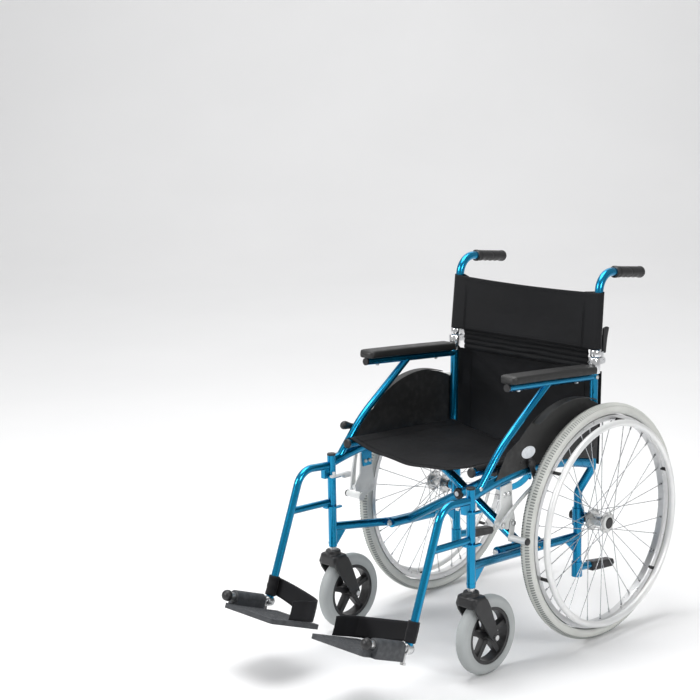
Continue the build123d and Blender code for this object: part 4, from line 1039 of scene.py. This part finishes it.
def make_heel_strap(m, side, mats):
    """Webbing sleeve round the hanger tube and a loop behind the heel down to the plate."""
    sleeve = []
    for k in range(13):
        rise = 15.0 + 50.0 * k / 12
        puff = 0.5 * math.sin(k * 1.3)
        ring = []
        for j in range(33):
            angle = math.tau * j / 33
            radius = 13.0 + puff + 0.4 * noise.noise(Vector((angle, rise * 0.1, m)))
            ring.append(foot_point(m, radius * math.cos(angle), rise, radius * math.sin(angle)))
        sleeve.append(ring)
    band = loft(f"heel_sleeve_{side}", sleeve, caps=False)
    solid = band.modifiers.new("thickness", "SOLIDIFY")
    solid.thickness = 1.4 * MM
    solid.offset = 0
    freeze(band)
    finish_piece(band, f"hanger_{side}", mats, "black_nylon", "webbing")
    path = [(7, -12.8), (-12, -14.4), (-48, -18), (-90, -20), (-140, -16), (-164, -2), (-169, 24), (-168, 56),
            (-167, 84)]
    heights = [(17, 63), (16, 62), (8, 57), (-3, 50), (-11, 42), (-14, 38), (-15, 36), (-16, 34), (-16, 30)]
    low_line = smooth_line([(x, low, forward) for (x, forward), (low, _) in zip(path, heights)], 46)
    high_line = smooth_line([(x, high, forward) for (x, forward), (_, high) in zip(path, heights)], 46)
    rows = []
    for low, high in zip(low_line, high_line):
        row = []
        for k in range(9):
            p = low.lerp(high, k / 8)
            bulge = 1.2 * math.sin(math.pi * k / 8)
            row.append(foot_point(m, p.x, p.y, p.z - bulge))
        rows.append(row)
    strap = sheet_from_rows(f"heel_loop_{side}", rows, 1.8)
    finish_piece(strap, None, mats, "black_nylon", "webbing")
    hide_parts(f"heel_strap_{side}")
    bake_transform(strap)


# ---------------------------------------------------------------- cross-brace
def make_brace_details(mats):
    """Black flanged bush under the centre bolt's head, and a bolt head on each lower pivot."""
    forward = brace_point(0, 0, 1) - brace_point(0, 0, 0)
    bush = lathe("centre_bush", brace_point(0, 0, 20.0), forward,
                 [(0.0, 12.0), (1.0, 15.0), (4.2, 15.4), (5.6, 14.6), (7.6, 11.2), (7.7, 9.3)], 40)
    finish_piece(bush, "brace_a", mats, "black_plastic")
    for side, m in SIDES:
        bolt = lathe(f"brace_pivot_bolt_{side}", brace_point(m * 184.0, -105.2, 84.6), forward,
                     [(0.0, 6.0), (0.1, 8.0), (1.4, 8.0), (2.0, 6.8), (4.4, 6.6), (5.4, 5.0), (5.5, 1.0)], 28)
        finish_piece(bolt, f"side_{side}", mats, "zinc_steel")


def make_castor_fork(m, side, mats):
    """The fork's moulding with every edge softened."""
    fork = bpy.data.objects.new(f"castor_yoke_{side}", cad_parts[f"castor_fork_{side}"].data.copy())
    fork.matrix_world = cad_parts[f"castor_fork_{side}"].matrix_world
    bpy.context.scene.collection.objects.link(fork)
    remesh = fork.modifiers.new("remesh", "REMESH")
    remesh.mode = "VOXEL"
    remesh.voxel_size = 1.3 * MM
    smooth = fork.modifiers.new("smooth", "SMOOTH")
    smooth.factor = 0.6
    smooth.iterations = 14
    freeze(fork)
    for polygon in fork.data.polygons:
        polygon.use_smooth = True
    finish_piece(fork, f"fork_{side}", mats, "black_plastic")
    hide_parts(f"castor_fork_{side}")


# ---------------------------------------------------------------- stage, light and camera
def make_stage():
    """A pale floor that curves up into the background."""
    profile = [(-9.0, 0.0), (6.0, 0.0)]
    profile += [(6.0 + 3.0 * math.sin(a), 3.0 - 3.0 * math.cos(a)) for a in
                [math.radians(10 * k) for k in range(1, 10)]]
    profile.append((9.0, 9.0))
    direction = Vector((-math.sin(math.radians(CAMERA_AZIMUTH)), math.cos(math.radians(CAMERA_AZIMUTH)), 0))
    across = Vector((direction.y, -direction.x, 0))
    rows = []
    for distance, height in profile:
        place = direction * distance + Vector((0, 0, height))
        rows.append([(place + across * width) / MM for width in (-12, -4, 4, 12)])
    floor = loft("floor", rows, closed_ring=False, caps=False)
    mat = surface("floor_paper", (0.86, 0.86, 0.865), (0.88, 0.88, 0.885), (0.75, 0.85), patch=1.2,
                  grain=300.0, bump=0.03, depth=0.05)
    floor.data.materials.append(mat)


def add_area(name, place, target, size, power, colour=(1, 1, 1)):
    """A square soft light aimed at a point."""
    light = bpy.data.lights.new(name, "AREA")
    light.shape = "SQUARE"
    light.size = size
    light.energy = power
    light.color = colour
    obj = bpy.data.objects.new(name, light)
    obj.location = place
    direction = Vector(target) - Vector(place)
    obj.rotation_euler = direction.to_track_quat("-Z", "Y").to_euler()
    bpy.context.scene.collection.objects.link(obj)


def make_lights():
    """A white studio: a bright surround, an overhead bank and a front key."""
    world = bpy.data.worlds.new("studio")
    world.use_nodes = True
    background = world.node_tree.nodes["Background"]
    background.inputs["Color"].default_value = (1.0, 1.0, 1.0, 1)
    background.inputs["Strength"].default_value = 0.45
    bpy.context.scene.world = world
    bpy.context.scene.view_settings.view_transform = "Standard"
    far = Vector((-math.sin(math.radians(CAMERA_AZIMUTH)), math.cos(math.radians(CAMERA_AZIMUTH)), 0))
    add_area("backdrop", far * 5.0 + Vector((0, 0, 5.2)), far * 6.5, 5.0, 120)
    add_area("overhead", (-0.3, -0.2, 3.4), (0, 0, 0.4), 2.2, 84)
    add_area("key", (-1.4, -3.6, 2.6), (0, 0, 0.5), 1.3, 84)
    add_area("side", (3.4, -0.6, 1.9), (0, 0, 0.5), 0.9, 38)


def make_camera():
    """The camera at the found place and turn."""
    azimuth = math.radians(CAMERA_AZIMUTH)
    elevation = math.radians(CAMERA_ELEVATION)
    roll = math.radians(CAMERA_ROLL)
    back = Vector((math.sin(azimuth) * math.cos(elevation), -math.cos(azimuth) * math.cos(elevation),
                   math.sin(elevation)))
    right = (-back).cross(Vector((0, 0, 1))).normalized()
    up = right.cross(-back)
    turned_right = right * math.cos(roll) + up * math.sin(roll)
    turned_up = up * math.cos(roll) - right * math.sin(roll)
    camera = bpy.data.cameras.new("camera")
    camera.lens = CAMERA_LENS
    camera.sensor_width = 36.0
    camera.clip_end = 60.0
    obj = bpy.data.objects.new("camera", camera)
    basis = Matrix((turned_right, turned_up, back)).transposed().to_4x4()
    obj.matrix_world = Matrix.Translation(CAMERA_PLACE) @ basis
    bpy.context.scene.collection.objects.link(obj)
    bpy.context.scene.camera = obj


# ---------------------------------------------------------------- scene
MATERIALS = make_materials()
dress_nodes(MATERIALS)
make_camera()
make_stage()
make_lights()
make_seat(MATERIALS)
make_lower_back(MATERIALS)
make_pleats(MATERIALS)
make_upper_back(MATERIALS)
make_brace_details(MATERIALS)
make_rail_rivets(MATERIALS)
for side, m in SIDES:
    make_arm_pad(m, side, MATERIALS)
    make_grip(m, side, MATERIALS)
    make_collars(m, side, MATERIALS)
    make_release_paddle(m, side, MATERIALS)
    make_guard_details(m, side, MATERIALS)
    make_rear_tyre(m, side, MATERIALS)
    make_wheel_details(m, side, MATERIALS)
    make_brake_lever(m, side, MATERIALS)
    make_brake_details(m, side, MATERIALS)
    make_castor_fork(m, side, MATERIALS)
    make_footplate_details(m, side, MATERIALS)
    make_heel_strap(m, side, MATERIALS)
